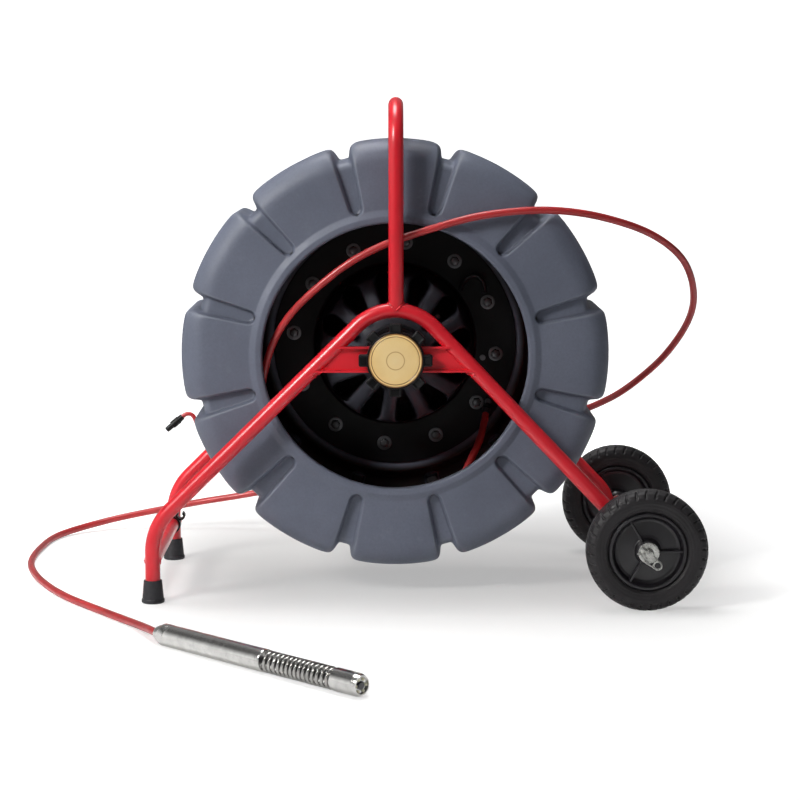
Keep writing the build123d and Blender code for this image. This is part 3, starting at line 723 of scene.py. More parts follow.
# ---------------------------------------------------------------- drum shell
CROWN_R = 320
MOUTH_R = 197.0
HOLE_EDGE = (140, 68)   # r, y where the outer skin turns into the inner one
GROOVE_DEPTH = 11.0     # on the faces
GROOVE = dict(ends=(226, 305), half_widths=(9.5, 14.5))
# r, y, corner radius: outer skin from the front mouth to the rear hole, then the inner skin
DRUM_SECTION = [
    (MOUTH_R, -124, 1.5), (MOUTH_R, -135.5, 4.5), (207.5, -135.5, 7.0), (217.0, -130.5, 9.0),
    (CROWN_R, -128.6, 36.0), (CROWN_R, 105, 34.0), (216, 105, 9.0), (201, 73, 6.0),
    (140, 73, 1.5), (*HOLE_EDGE, 1.5), (203.8, 68, 5.0), (218.8, 100, 8.0), (315, 100, 29.0),
    (315, -123.6, 31.0), (203, -124.5, 3.0)]
# degrees from a groove's middle line at which the shell has vertices
LOBE_STATIONS = np.array([0, .5, 1.0, 1.35, 1.6, 1.85, 2.1, 2.35, 2.6, 2.85, 3.15, 3.5, 3.9, 4.4,
                          5.0, 5.8, 7.0, 8.5, 10.2, 12.0, 13.6])


def drum_section():
    """Shell section, finer on the faces around the inner ends of the grooves."""
    coarse = subdivide(rounded(DRUM_SECTION, 9), 7.0)
    fine = []
    for a, b in zip(coarse, np.roll(coarse, -1, 0)):
        near_ends = 206 < min(a[0], b[0]) and max(a[0], b[0]) < 246 and abs(a[1]) > 90
        cuts = max(1, int(round(np.hypot(*(b - a)) / 2.0))) if near_ends else 1
        fine += [a + (b - a) * k / cuts for k in range(cuts)]
    return np.array(fine)


def drum_groove_depth(r, y, inward, angles):
    """Depth pushed into the cavity, by angle and section point."""
    radius, offset = np.meshgrid(r, lobe_angle(np.degrees(angles)))
    edge = slot_edge(radius * np.sin(offset), radius * np.cos(offset), **GROOVE)
    face = GROOVE_DEPTH * pchip(edge, [-3.6, -2.1, -0.8, 0.6, 1.9, 3.6],
                                [1.0, 0.96, 0.75, 0.25, 0.05, 0.0])
    crown = pchip(CROWN_R * np.abs(offset),
                  [0, 6, 8.4, 10.2, 11.8, 13.4, 15.6, 18.6, 22.5, 28],
                  [21, 20.9, 20.0, 17.2, 12.8, 8.2, 4.3, 1.7, 0.4, 0])
    # share of the crown groove: 0 on the faces, 1 on the crown
    crown_share = np.where(r > 262, smoothstep(np.abs(inward[:, 0]), 0.15, 0.98), 0.0)
    grooved = (r > 213) & ((np.abs(y) > 60) | (r > 290)) & ~((y > 60) & (r < 221))
    depth = ((1 - crown_share) * face + crown_share * crown) * grooved
    # shallow dip beside each groove
    dip = 0.72 * smoothstep(radius, 214, 240) * smoothstep(-np.abs(np.degrees(offset)), -7.0, -2.5)
    return depth + grooved * dip


def mark_cavity_shade(obj):
    """Attribute for the painted shade: 1 on the skin that faces the cavity, 0 outside."""
    co = np.empty(len(obj.data.vertices) * 3)
    obj.data.vertices.foreach_get("co", co)
    co = co.reshape(-1, 3) * 1000 - ORIGIN
    x, y, z = co[:, 0], co[:, 1], co[:, 2] - AXIS_Z
    r = np.hypot(x, z)
    offset = lobe_angle(np.degrees(np.arctan2(x, z)))
    edge = slot_edge(r * np.sin(offset), r * np.cos(offset), **GROOVE)
    groove = np.where(r > 213, GROOVE_DEPTH * np.interp(edge, [-3.6, 3.6], [1, 0]), 0.0)
    front = np.interp(r, [207.5, 217.0, CROWN_R], [-135.5, -130.5, -128.6]) + groove
    back = np.interp(r, [140.0, 201.0, 216.0], [73.0, 73.0, 105.0]) - groove
    inner = (np.clip((y - front - 2.8) / 1.5, 0, 1) * np.clip((back - y - 2.8) / 1.5, 0, 1)
             * np.interp(r, [284.0, 290.0], [1, 0]) * np.interp(r, [196.5, 198.5], [0, 1]))
    attribute = obj.data.attributes.new("cavity_shade", "FLOAT", "POINT")
    attribute.data.foreach_set("value", inner.astype(np.float32))


def drum_shell():
    offsets = np.r_[-LOBE_STATIONS[:0:-1], LOBE_STATIONS]
    angles = np.concatenate([LOBE_PITCH * (k + 0.5) + offsets for k in range(12)])
    angles = np.radians(np.sort(angles % 360))
    section = drum_section()
    normals = outward_normals(section)
    inward = np.where(past_point(section, HOLE_EDGE)[:, None], normals, -normals)
    r, y = section.T
    depth = drum_groove_depth(r, y, inward, angles)
    mesh = revolve(angles, r + depth * inward[:, 0], y + depth * inward[:, 1])
    mark_cavity_shade(build("drum_shell_skin", mesh, "drum", "drum", "drum_plastic", "drum_shell",
                          sharp=60))


drum_shell()

# ---------------------------------------------------------------- rosette hub plate
FLANGE_R = 190
FLANGE_BACK = 68.0
# r, y, corner radius: front face out to the flange, then the back face
HUB_SECTION = [
    (14.2, -138, 0.8), (42, -138, 2.0), (45, -134, 2.5), (45.5, -101, 8), (113.5, -23, 20),
    (124.0, 62, 5), (127.5, 65.05, 2), (FLANGE_R, 65.0, 0.8), (FLANGE_R, FLANGE_BACK, 0.8),
    (120.5, 68.0, 1), (110.0, -14, 9), (47, -85, 6), (30, -81, 3), (30, 80, 1), (14.2, 80, 1)]
# y, distance from the axis: side view of a web behind the cone
WEB = [(-12, 29), (-12, 60), (18, 104), (55, 112), (55, 29)]
WEB_HALF = 2.0


def hub_web():
    verts = np.array([[x, y, z + AXIS_Z] for x in (-WEB_HALF, WEB_HALF) for y, z in WEB])
    n = len(WEB)
    faces = [tuple(range(n))[::-1], tuple(range(n, 2 * n))]
    faces += [(i, (i + 1) % n, n + (i + 1) % n, n + i) for i in range(n)]
    return verts, faces


def hub_plate():
    """Twelve convex ribs with deep pockets between them, and the flat bolted flange."""
    section = subdivide(rounded(HUB_SECTION, 7), 1.7)
    r, y = section.T
    back_side = past_point(section, (FLANGE_R, FLANGE_BACK))
    angles = np.radians(np.arange(0, 360, 0.5))
    radius, offset = np.meshgrid(r, lobe_angle(np.degrees(angles) - HUB_TURN))
    edge = slot_edge(radius * np.sin(offset), radius * np.cos(offset),
                     ends=(60, 103), half_widths=(5.0, 14.6), outer_round=True)
    wall = ([-5.0, -3.0, -1.2, 0.8, 3.2, 7.0], [1.0, 0.94, 0.58, 0.17, 0.03, 0.0])
    front_share, back_share = pchip(edge, *wall), pchip(edge - 3.0, *wall)
    floor_y = np.interp(r, [46, 52, 60, 75, 90, 105, 118, 126],
                        [-96, -82, -56, -16, 14, 34, 46, 60])
    front = ~back_side & (r > 46.5) & (r < 126) & (y < 63.5)
    back = back_side & (r > 48) & (r < 119.5) & (y < 66)
    push = np.where(front, np.maximum(floor_y - y, 0),
                    np.where(back, np.maximum(floor_y + 5.5 - y, 0), 0.0))
    ys = y + push * np.where(back_side, back_share, front_share)
    # the ribs are full along their middle lines
    from_rib = np.abs(np.abs(offset) - math.radians(15)) / math.radians(7)
    lift = 3.0 * np.cos(np.clip(from_rib, 0, 1) * math.pi / 2)
    ys -= (lift * (front & (y < 10))
           * smoothstep(radius, 50, 66) * (1 - smoothstep(radius, 106, 117)))
    webs = [turned(hub_web(), HUB_TURN + 60 * k) for k in range(6)]
    build("hub_rosette", join([revolve(angles, radius, ys)] + webs), "rosette", "drum",
          "black_plastic", "hub_plate", sharp=62)


hub_plate()


# ---------------------------------------------------------------- hub bolts, washers, nuts
def hexagon(degrees):
    """Bolt-sized hexagon turned in place at the top of the bolt circle, rows (x, z)."""
    corner_r = 7.5
    corners = [(corner_r * math.sin(math.radians(60 * k)), corner_r * math.cos(math.radians(60 * k)))
               for k in range(6)]
    c, s = math.cos(math.radians(degrees)), math.sin(math.radians(degrees))
    turn = np.array([[c, -s], [s, c]])
    return rounded(corners, 4, radius=0.7) @ turn + [0, AXIS_Z + BOLT_CIRCLE_R]


def hub_bolts():
    head_rings = [(58.1, 1.6), (58.5, 0.7), (59.4, 0.12), (62.8, 0.0), (63.35, 0.25)]  # y, inset
    nut_rings = [(73.0, 0.2), (73.4, 0.0), (78.4, 0.0), (79.1, 0.5), (79.5, 1.4)]
    washer = rounded(ring_section(4.3, 11.5, 63.4, 64.98), 3, radius=0.45)
    stud = rounded([(CORE, 79.0, 0), (4.0, 79.0, 0), (4.0, 84.0, 0.8), (CORE, 84.0, 0)], 3)
    bolt_z = AXIS_Z + BOLT_CIRCLE_R
    heads, washers, nuts = [], [], []
    for k in range(12):
        angle = HUB_TURN + LOBE_PITCH * k
        outline = hexagon(float(rng.uniform(0, 60)))
        heads.append(turned(prism_y(outline, head_rings), angle))
        washers.append(turned(lathe_y(washer, 40, z0=bolt_z), angle))
        nuts.append(turned(prism_y(outline, nut_rings), angle))
        nuts.append(turned(lathe_y(stud, 24, z0=bolt_z), angle))
    build("hub_bolt_heads", join(heads), "dark_steel", "drum", "dark_steel", "hub_bolts")
    build("hub_bolt_washers", join(washers), "dark_steel", "drum", "dark_steel", "hub_washers")
    build("hub_bolt_nuts", join(nuts), "zinc", "drum", "zinc_steel", "hub_nuts")


hub_bolts()


# ---------------------------------------------------------------- red tube frame
def leg_z(leg, x):
    return leg[1] + leg[2] * (x - leg[0])


def leg_x(leg, z):
    return leg[0] + (z - leg[1]) / leg[2]


APEX_X = ((RIGHT_LEG[1] - RIGHT_LEG[2] * RIGHT_LEG[0] - LEFT_LEG[1] + LEFT_LEG[2] * LEFT_LEG[0])
          / (LEFT_LEG[2] - RIGHT_LEG[2]))
BEAD_ANGLES = around(96)    # stations round a closed weld


def weld_bead(points, radius, seed):
    """Rippled bead along a closed curve."""
    wobble = np.random.default_rng(seed).standard_normal(len(points))
    tangents = unit(np.roll(points, -1, 0) - np.roll(points, 1, 0))
    normals = points - points.mean(0)
    normals = unit(normals - tangents * np.sum(normals * tangents, 1)[:, None])
    binormals = np.cross(tangents, normals)
    radii = radius * (1 + 0.12 * np.sin(BEAD_ANGLES * 24) + 0.05 * wobble)
    around_bead = around(10)[None, :, None]
    verts = points[:, None, :] + radii[:, None, None] * (
        np.cos(around_bead) * normals[:, None, :] + np.sin(around_bead) * binormals[:, None, :])
    return verts.reshape(-1, 3), grid_faces(*verts.shape[:2])


def tee_weld(centre, axis, across, seed):
    """Bead where a tube along axis meets an equal tube along across, both through centre."""
    side = unit(np.cross(axis, across))
    other = np.cross(axis, side)
    c, s = np.cos(BEAD_ANGLES)[:, None], np.sin(BEAD_ANGLES)[:, None]
    points = np.array(centre) + TUBE_R * (c * side + s * other + np.abs(s) * np.array(axis))
    return weld_bead(points, 1.6, seed)


def axle_seam(side):
    """Bead where the axle tube lies against the leg."""
    c, s = np.cos(BEAD_ANGLES), np.sin(BEAD_ANGLES)
    points = np.stack([AXLE_X - 8.0 + 1.6 * c, side * FRAME_Y + 9.4 * s, WHEEL_R + 5.6 * c], 1)
    return weld_bead(points, 1.5, 12 + side)


def red_part(name, meshes, *replaced):
    build(name, join(meshes), "red_paint", "frame", "red_paint", *replaced)


def frame_tubes():
    for side, tag in SIDES:
        y = side * FRAME_Y
        path = bent_path([
            (FOOT_X, y, 6.2), (FOOT_X, y, leg_z(LEFT_LEG, FOOT_X)),
            (APEX_X, y, leg_z(LEFT_LEG, APEX_X)),
            (LEG_END_X, y, leg_z(RIGHT_LEG, LEG_END_X)), (LEG_END_X, y, 74.0)],
            [90.0, 78.3, 58.0])
        weld = tee_weld((APEX_X, y, LEG_TOP_Z), (0, 0, 1), (1, 0, 0), 3 + side)
        red_part(f"{tag}_leg_tube", [sweep(path, TUBE_R, 40), weld], f"{tag}_frame_tube")
    handle_foot = LEG_TOP_Z + 3
    path = bent_path([(APEX_X, -FRAME_Y, handle_foot), (APEX_X, -FRAME_Y, HANDLE_Z),
                      (APEX_X, FRAME_Y, HANDLE_Z), (APEX_X, FRAME_Y, handle_foot)], [62.0, 62.0])
    red_part("carry_handle", [sweep(path, TUBE_R, 40)], "handle_tube")
    path = [(FOOT_X, y, FOOT_TUBE_Z) for y in np.linspace(-FRAME_Y + 1, FRAME_Y - 1, 24)]
    welds = [tee_weld((FOOT_X, side * FRAME_Y, FOOT_TUBE_Z), (0, -side, 0), (0, 0, 1), 8 + side)
             for side, _ in SIDES]
    red_part("foot_tube", [sweep(path, TUBE_R, 40)] + welds, "foot_cross_tube")
    section = subdivide(rounded(ring_section(6.5, 9.5, -187.8, 187.8), 4, radius=0.7), 30)
    tube = lathe_y(section, 48, AXLE_X, WHEEL_R)
    red_part("axle_tube", [tube] + [axle_seam(side) for side, _ in SIDES], "axle_cross_tube")


def leg_weld(leg, side, ys, zs, lift, radius, segments):
    """Rippled weld along the inner side of a leg; side is -1 on the left leg, 1 on the right."""
    along = unit([1 / leg[2], 0, 1.0])
    normal_x, normal_z = -side * along[2], side * along[0]
    off = np.sqrt(TUBE_R ** 2 - (np.abs(ys) - FRAME_Y) ** 2) + lift
    points = np.stack([leg_x(leg, zs) + normal_x * off, ys, zs + normal_z * off], 1)
    n = len(points)
    radii = radius * (1 + 0.06 * np.sin(np.arange(n) * 1.9) + 0.03 * rng.standard_normal(n))
    return sweep(points, radii, segments)


def channel_welds():
    """Welds where the cross channels meet the legs: one upright, one above, one below."""
    for face, tag in SIDES:
        welds = []
        for side, leg in ((-1, LEFT_LEG), (1, RIGHT_LEG)):
            welds.append(leg_weld(leg, side, np.full(34, face * 164.9),
                                  AXIS_Z + np.linspace(-15.0, 15.0, 34),
                                  lift=0.2, radius=1.5, segments=14))
            for dz in (-19.2, 19.2):
                welds.append(leg_weld(leg, side, face * np.linspace(165.2, 173.4, 26),
                                      np.full(26, AXIS_Z + dz),
                                      lift=-0.2, radius=1.3, segments=12))
        red_part(f"{tag}_channel_welds", welds)


def foot_caps():
    # r, z, corner radius
    section = subdivide(rounded([
        (CORE, 0.4, 0), (12.0, 0.0, 3), (17.0, 0.0, 1.8), (17.0, 5.2, 1.2), (15.9, 6.4, 1.4),
        (13.5, 33.0, 0.9), (12.9, 34.0, 0.6), (11.0, 34.0, 0.3), (11.0, 6.0, 0.5),
        (CORE, 6.0, 0)], 5), 5)
    for side, tag in SIDES:
        mesh = lathe_axis(section[:, ::-1], (FOOT_X, side * FRAME_Y, 0), (0, 0, 1), 72)
        build(f"foot_cap_{tag}_rubber", mesh, "rubber", "frame", "black_rubber", f"foot_cap_{tag}")


frame_tubes()
channel_welds()
foot_caps()

# ---------------------------------------------------------------- wheels
# r, half width
TYRE_HALF = [(57.0, 16.4), (60.5, 19.6), (66, 21.4), (72.5, 22.0), (79.2, 20.8), (85.2, 17.4),
             (88.8, 10.5), (WHEEL_R, 3.0)]
# r, half width, corner radius
DISC_HALF = [(6.45, 26.0, 0.8), (13.0, 26.0, 1.2), (16.6, 22.5, 1.5), (18.6, 10.2, 3.0),
             (24.0, 9.4, 6), (44.0, 8.2, 5.0), (48.0, 10.0, 3.0), (50.6, 18.2, 1.6),
             (52.5, 20.6, 1.0), (55.5, 20.6, 1.0), (57.3, 18.6, 1.0), (57.6, 15.5, 0.3)]


def tyre(side, tag):
    """Slanted shoulder slots every 10 degrees, two centre grooves and sidewall rings."""
    section = subdivide(rounded(mirrored(TYRE_HALF), 5, radius=5.0), 1.6)
    normals = outward_normals(section)
    angles = around(720)
    r, y = section.T
    half = np.sign(y)
    slant = (np.abs(y) - 17.5) * math.tan(math.radians(18)) * half
    degrees = np.degrees(angles)[:, None] - (2.5 * half)[None, :]
    from_slot = np.radians(((degrees + 5) % 10) - 5) * np.maximum(r, 60) - slant
    shoulder = smoothstep(r, 77.5, 81.0) * smoothstep(np.abs(y), 8.4, 10.4)
    depth = 2.3 * (1 - smoothstep(np.abs(from_slot) - 1.7, -0.9, 0.7)) * shoulder
    depth += 1.8 * (1 - smoothstep(np.abs(np.abs(y) - 5.4), 0.5, 1.5)) * (r > 84)
    # sidewall rings: radius, width, depth (negative stands proud)
    for ring_r, width, ring_depth in ((62.8, 0.8, -0.7), (75.8, 0.9, -0.6), (69.2, 0.5, 0.4)):
        from_ring = np.abs(r - ring_r)
        depth += ring_depth * (1 - smoothstep(from_ring, width * 0.5, width * 1.5)) * (r < 80)
    verts, faces = revolve(angles, r - depth * normals[:, 0],
                           side * WHEEL_Y + y - depth * normals[:, 1], AXLE_X, WHEEL_R)
    verts[:, 2] = np.maximum(verts[:, 2], 0.05)
    build(f"tyre_{tag}_tread", (verts, faces), "tyre", f"{tag}_wheel", "tyre_rubber",
          f"tyre_{tag}", sharp=50)


def wheel_disc(side, tag):
    section = subdivide(rounded(mirrored(DISC_HALF)), 6) + [0, side * WHEEL_Y]
    parts = [lathe_y(section, 128, AXLE_X, WHEEL_R)]
    for k in range(3):
        for face in (-1, 1):
            rib = rounded_box((AXLE_X, side * WHEEL_Y + face * 12.4, WHEEL_R + 33.6),
                              (3.4, 11.4, 36.0), 1.1)
            parts.append(turned(rib, 90 + 120 * k, AXLE_X, WHEEL_R))
    build(f"wheel_disc_{tag}_moulding", join(parts), "wheel", f"{tag}_wheel", "wheel_plastic",
          f"wheel_disc_{tag}", sharp=42)


def axle_parts():
    rod_end = 253.5
    rod = subdivide(rounded([(CORE, -rod_end, 0), (AXLE_R, -rod_end, 1.3),
                             (AXLE_R, rod_end, 1.3), (CORE, rod_end, 0)], 4), 40)
    build("wheel_axle_rod", lathe_y(rod, 48, AXLE_X, WHEEL_R), "zinc", "frame", "zinc_steel",
          "wheel_axle")
    washers = []
    for side, _ in SIDES:
        for r_out, y0, y1 in ((15.3, 241.7, 243.5), (11.0, 188.0, 189.3)):
            section = rounded(ring_section(6.5, r_out, side * y0, side * y1), 4, radius=0.45)
            washers.append(lathe_y(subdivide(section, 6), 64, AXLE_X, WHEEL_R))
    build("axle_washer_set", join(washers), "zinc", "frame", "zinc_steel", "axle_washers")


def hitch_pin(side, tag):
    """Straight leg through the axle, a coil and a returning arm; x and z from the axle."""
    leg_dir = (-0.7771, 0.6293)
    coil_x, coil_z, coil_r = 12.1, -17.0, 5.8
    coil_pitch = 2.8
    y = side * 247.6
    points = [(s * leg_dir[0], y, s * leg_dir[1]) for s in (17, 8, -4)]
    for k in range(52):
        angle = math.radians(46.0 - 10.0 * k)
        points.append((coil_x + coil_r * math.cos(angle), y + side * coil_pitch * 10 * k / 360,
                       coil_z + coil_r * math.sin(angle)))
    y += side * 4.2
    points += [(x, y, z) for x, z in ((2.0, -16.6), (-5.5, -12.2), (-9.2, -6.4), (-12.4, -1.4),
                                      (-18.4, 0.8))]
    path = spline([(AXLE_X + x, y, WHEEL_R + z) for x, y, z in points], step=0.7, passes=2)
    build(f"hitch_pin_{tag}_wire", sweep(path, 1.3, 14), "zinc", "frame", "zinc_steel",
          f"hitch_pin_{tag}")


for side, tag in SIDES:
    tyre(side, tag)
    wheel_disc(side, tag)
axle_parts()
for side, tag in SIDES:
    hitch_pin(side, tag)


# ---------------------------------------------------------------- cable inside the drum
def helix(radius, y0, turns, pitch=11.3, per_turn=96):
    count = int(turns * per_turn)
    angles = math.radians(-60) + np.linspace(0, 2 * math.pi * turns, count)
    return np.stack([radius * np.sin(angles), y0 + np.linspace(0, turns * pitch, count),
                     AXIS_Z + radius * np.cos(angles)], 1)


def ring_groove(start, radius, depth, stations, lip=0.0):
    """Section rows (s, r) of a groove round a boot; lip is the drop at its far edge."""
    a, b, c = stations
    return [(start, radius), (start + a, radius - depth), (start + b, radius - depth),
            (start + c, radius - lip)]


def inner_cable():
    """Coil, and the cable's inner end up to its gland on the hub flange."""
    layers = [sweep(helix(287.0, -98.5, 16.05), 5.45, 14), sweep(helix(277.4, -92.3, 15.0), 5.45, 14)]
    build("cable_coil_windings", join(layers), "cable", "drum", "cable_red", "cable_coil")
    start, gland = np.array([140, 38, 244.0]), np.array([146.5, 61.0, 272.5])
    axis = unit(gland - start)
    path = spline([(20, -46, 101.5), (62, -44, 120), (98, -34, 158), (118, -17, 194),
                   (131, 12, 216), start, start + axis * 10, start + axis * 16],
                  step=2.5, passes=6)
    build("termination_cable", sweep(path, CABLE_R, 24), "cable", "drum", "cable_red",
          "termination_lead")
    section = [(13.0, CORE), (13.0, 6.2), (13.8, 7.0)]
    for k in range(2):
        section += ring_groove(15.2 + k * 3.2, 7.0, 0.7, (0.4, 1.4, 1.8))
    section += [(22.0, 6.8), (23.2, 5.8), (23.6, 4.5), (30.0, 4.4), (31.0, 3.8), (31.0, CORE)]
    build("lead_sleeve_boot", lathe_axis(section, start, axis, 36), "rubber", "drum",
          "black_rubber", "lead_sleeve")
    # y, r, corner radius
    section = rounded([(gland[1] - 5.0, CORE, 0), (gland[1] - 5.0, 6.2, 1.4),
                       (64.98, 6.2, 0.3), (64.98, CORE, 0)], 4)
    mesh = lathe_axis(subdivide(section, 4), (gland[0], 0, gland[2]), (0, 1, 0), 40)
    build("lead_gland_cap", mesh, "black_gloss", "drum", "black_plastic", "lead_gland")
    path = spline([(104.8, 64.7, 447.4), (105.6, 54, 456), (113, 47, 467), (125, 45, 471.5),
                   (136, 48, 463), (140, 56, 452), (140.8, 64.7, 444.3)], step=1.2, passes=8)
    build("lead_loop_wire", sweep(path, 3.4, 18), "black_lead", "drum", "black_rubber",
          "lead_loop")


inner_cable()


# ---------------------------------------------------------------- star knob and its gold disc
def star_outline():
    """Round body with eight lugs, rows (x, z)."""
    body_r, lug_half, lug_r, lug_corner = 42.6, 9.0, 54.0, 3.2
    root = math.sqrt(body_r ** 2 - lug_half ** 2)
    root_angle = math.asin(lug_half / body_r)
    rows = []
    for k in range(8):
        a = math.radians(45 * k)
        c, s = math.cos(a), math.sin(a)
        for x, z in ((-lug_half, root), (-lug_half, lug_r), (lug_half, lug_r), (lug_half, root)):
            rows.append((x * c + z * s, -x * s + z * c, lug_corner))
        # body arc to the next lug
        start, end = a + root_angle, a + math.radians(45) - root_angle
        for j in range(1, 5):
            b = start + (end - start) * j / 5
            rows.append((body_r * math.sin(b), body_r * math.cos(b), 0))
    return subdivide(rounded(rows), 4.0) + [0, AXIS_Z]


def star_knob():
    # y, inset
    star = prism_y(star_outline(), [
        (-188.6, 4.2), (-189.3, 3.0), (-189.5, 2.1), (-189.35, 1.2), (-188.8, 0.5), (-187.8, 0.08),
        (-186.8, 0.0), (-178.9, 0.0), (-177.9, 0.25), (-177.2, 0.9), (-177.0, 1.8)])
    # r, y, corner radius
    rim = subdivide(rounded([(39.6, -189.0, 0.1), (40.2, -190.4, 0.5), (41.6, -190.4, 0.5),
                             (42.0, -189.0, 0.1)], 4), 3)
    build("star_knob_moulding", join([star, lathe_y(rim, 128)]), "black_knob", "knob",
          "black_plastic", "star_knob", sharp=35)
    disc = subdivide(rounded([
        (CORE, -190.9, 0), (33.6, -190.7, 0.3), (34.1, -190.35, 0.2), (34.9, -190.35, 0.2),
        (35.4, -190.7, 0.3), (38.6, -190.7, 0.5), (39.4, -190.2, 0.3), (39.4, -189.2, 0.2),
        (CORE, -189.2, 0)], 3), 4)
    build("knob_gold_disc", lathe_y(disc, 128), "gold", "knob", "gold_disc", "knob_disc")


star_knob()


# ---------------------------------------------------------------- signal lead behind the drum
def signal_lead():
    boot_dir = unit([-18.0, 0, -6.0])
    boot = np.array([-58.0, 125, AXIS_Z - 14])
    section = [(0.0, CORE), (0.0, 6.2), (1.0, 6.2)]
    for k in range(5):
        section += ring_groove(2.0 + k * 3.4, 6.2 - k * 0.42, 1.0, (0.5, 1.4, 1.9), lip=0.1)
    section += [(18.6, 4.2), (20.0, 3.8), (20.0, CORE)]
    build("strain_relief_boot", lathe_axis(section, boot, boot_dir, 36), "rubber", "frame",
          "black_rubber", "strain_relief")
    boot_end = boot + boot_dir * 20
    plug_dir = unit([-22.0, 0, -18.7])
    plug = np.array([-340.0, 126, 239.3])
    path = cord_path([boot_end - boot_dir * 1.5, boot_end + boot_dir * 25, (-128, 126, 280),
                      (-175, 128, 228), (-250, 128, 203), (-303, 128, 195), (-316, 127, 222),
                      plug - plug_dir * 18, plug + plug_dir * 2.5])
    build("signal_lead_cord", sweep(path, 3.3, 18), "cable", "frame", "cable_red", "signal_lead")
    section = [(0.0, CORE), (0.0, 4.2), (0.8, 4.9), (7.2, 5.0), (7.6, 5.9), (8.4, 6.2)]
    for k in range(5):
        section += ring_groove(10.0 + k * 2.2, 6.2, 0.5, (0.3, 0.9, 1.2))
    section += [(21.4, 6.2), (22.0, 5.6), (22.2, 4.5), (33.2, 4.5), (34.0, 3.7), (34.0, 3.0),
                (29.0, 2.9), (29.0, CORE)]
    build("signal_plug_body", lathe_axis(section, plug, plug_dir, 40), "black_knob", "frame",
          "black_plastic", "signal_plug")


signal_lead()

# ---------------------------------------------------------------- free push cable
# x, y, z of the centre line, from the drum mouth to the ferrule
CABLE = [
    (-166, -62, 160), (-197, -76, 215), (-205, -86, 268), (-199, -97, 322), (-184, -108, 378),
    (-160, -121, 420), (-139, -131, 444), (-100, -139, 479), (-68, -142.5, 503),
    (-30, -143.5, 524), (0, -143.6, 536), (50, -144, 552), (109, -144.5, 569), (152, -144, 576),
    (200, -141, 580), (242, -133, 579), (302, -112, 569.5), (385, -66, 541), (440, -18, 499),
    (465, 40, 441), (463, 88, 395), (434, 140, 336), (398, 182, 293), (369, 215, 265),
    (338, 248, 243), (260, 300, 205), (150, 345, 165), (0, 380, 122), (-140, 402, 88),
    (-243, 410, 65.7), (-287, 418, 57), (-340, 425, 47.5), (-411, 427, 33.5), (-480, 418, 21),
    (-530, 392, 12), (-573, 335, 6.4), (-588, 222, 5.5), (-585, 108, 5.5), (-570, 36, 5.5),
    (-549, -28, 5.5), (-517, -102, 5.5), (-483, -163, 5.5), (-428, -243, 5.5), (-380, -312, 6.0),
    (-356, -357, 9.2), (-339.5, -395, 12.9)]


def push_cable():
    end = HEAD - HEAD_DIR * FERRULE
    path = spline(CABLE + [end - HEAD_DIR * 6, end + HEAD_DIR * 3], step=5.0, passes=14)
    path[:, 2] = np.maximum(path[:, 2], CABLE_R)
    build("push_cable_run", sweep(path, CABLE_R, 24), "cable", "frame", "cable_red", "push_cable")


push_cable()


# ---------------------------------------------------------------- camera head
def head_point(s, r=0.0, angle=0.0):
    """Point s along the head, r off its axis, angle from the top."""
    side = np.cross(HEAD_DIR, [0, 0, 1.0])
    return HEAD + HEAD_DIR * s + r * (math.cos(angle) * np.array([0, 0, 1.0])
                                      + math.sin(angle) * side)


def head_sleeve():
    # s, r, corner radius
    ferrule = subdivide(rounded([
        (-FERRULE, CORE, 0), (-FERRULE, 7.0, 0.6), (-13.5, 8.6, 3), (-9.0, 11.0, 8),
        (-3.0, 13.0, 4), (0.3, 13.4, 0.2), (0.3, CORE, 0)], 5), 3)
    build("cable_ferrule_cone", lathe_axis(ferrule, HEAD, HEAD_DIR, 72), "stainless", "frame",
          "stainless", "cable_ferrule", sharp=50)
    # s from HEAD, r
    start = [(0.0, CORE), (0.0, 13.4), (0.7, 14.4), (1.8, 15.1), (3.0, HEAD_R), (12.8, HEAD_R),
             (13.4, HEAD_R - 0.15), (13.8, HEAD_R - 0.55), (16.2, HEAD_R - 0.55),
             (16.6, HEAD_R - 0.15), (17.2, HEAD_R)]
    middle = [(s, HEAD_R) for s in np.linspace(22, SLEEVE_END - 9, 16)]
    # s back from the sleeve's end, drop below HEAD_R
    end = [(7.4, 0), (7.0, 0.25), (6.4, 0.25), (6.0, 0), (1.6, 0), (0.5, 0.5), (0, 1.5)]
    section = start + middle + [(SLEEVE_END - s, HEAD_R - drop) for s, drop in end]
    section.append((SLEEVE_END, CORE))
    build("spring_sleeve_tube", lathe_axis(section, HEAD, HEAD_DIR, 96), "stainless", "frame",
          "stainless", "spring_sleeve", sharp=24)


def blend_to_camera(obj):
    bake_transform(obj)


def camera_spring():
    """Lead and the coil spring round it, between sleeve and camera."""
    path = [head_point(s) for s in np.linspace(SLEEVE_END - 3, SPRING_END + 3, 60)]
    blend_to_camera(build("camera_lead_cord", sweep(path, 4.5, 20), "black_lead", None,
                          "black_rubber", "camera_lead"))
    turns, coil_r, wire_r = 15.0, 12.7, 2.3
    w = np.linspace(0, 1, int(turns * 44))
    eased = w + 0.012 * np.sin(2 * math.pi * w)     # coil spacing varies a little
    inset = wire_r + 0.1
    stations = SLEEVE_END + inset + (SPRING_END - SLEEVE_END - 2 * inset) * eased
    path = [head_point(s, coil_r, -2 * math.pi * turns * t) for s, t in zip(stations, w)]
    blend_to_camera(build("camera_spring_wire", sweep(path, wire_r, 14), "spring", None,
                          "spring_steel", "camera_spring"))


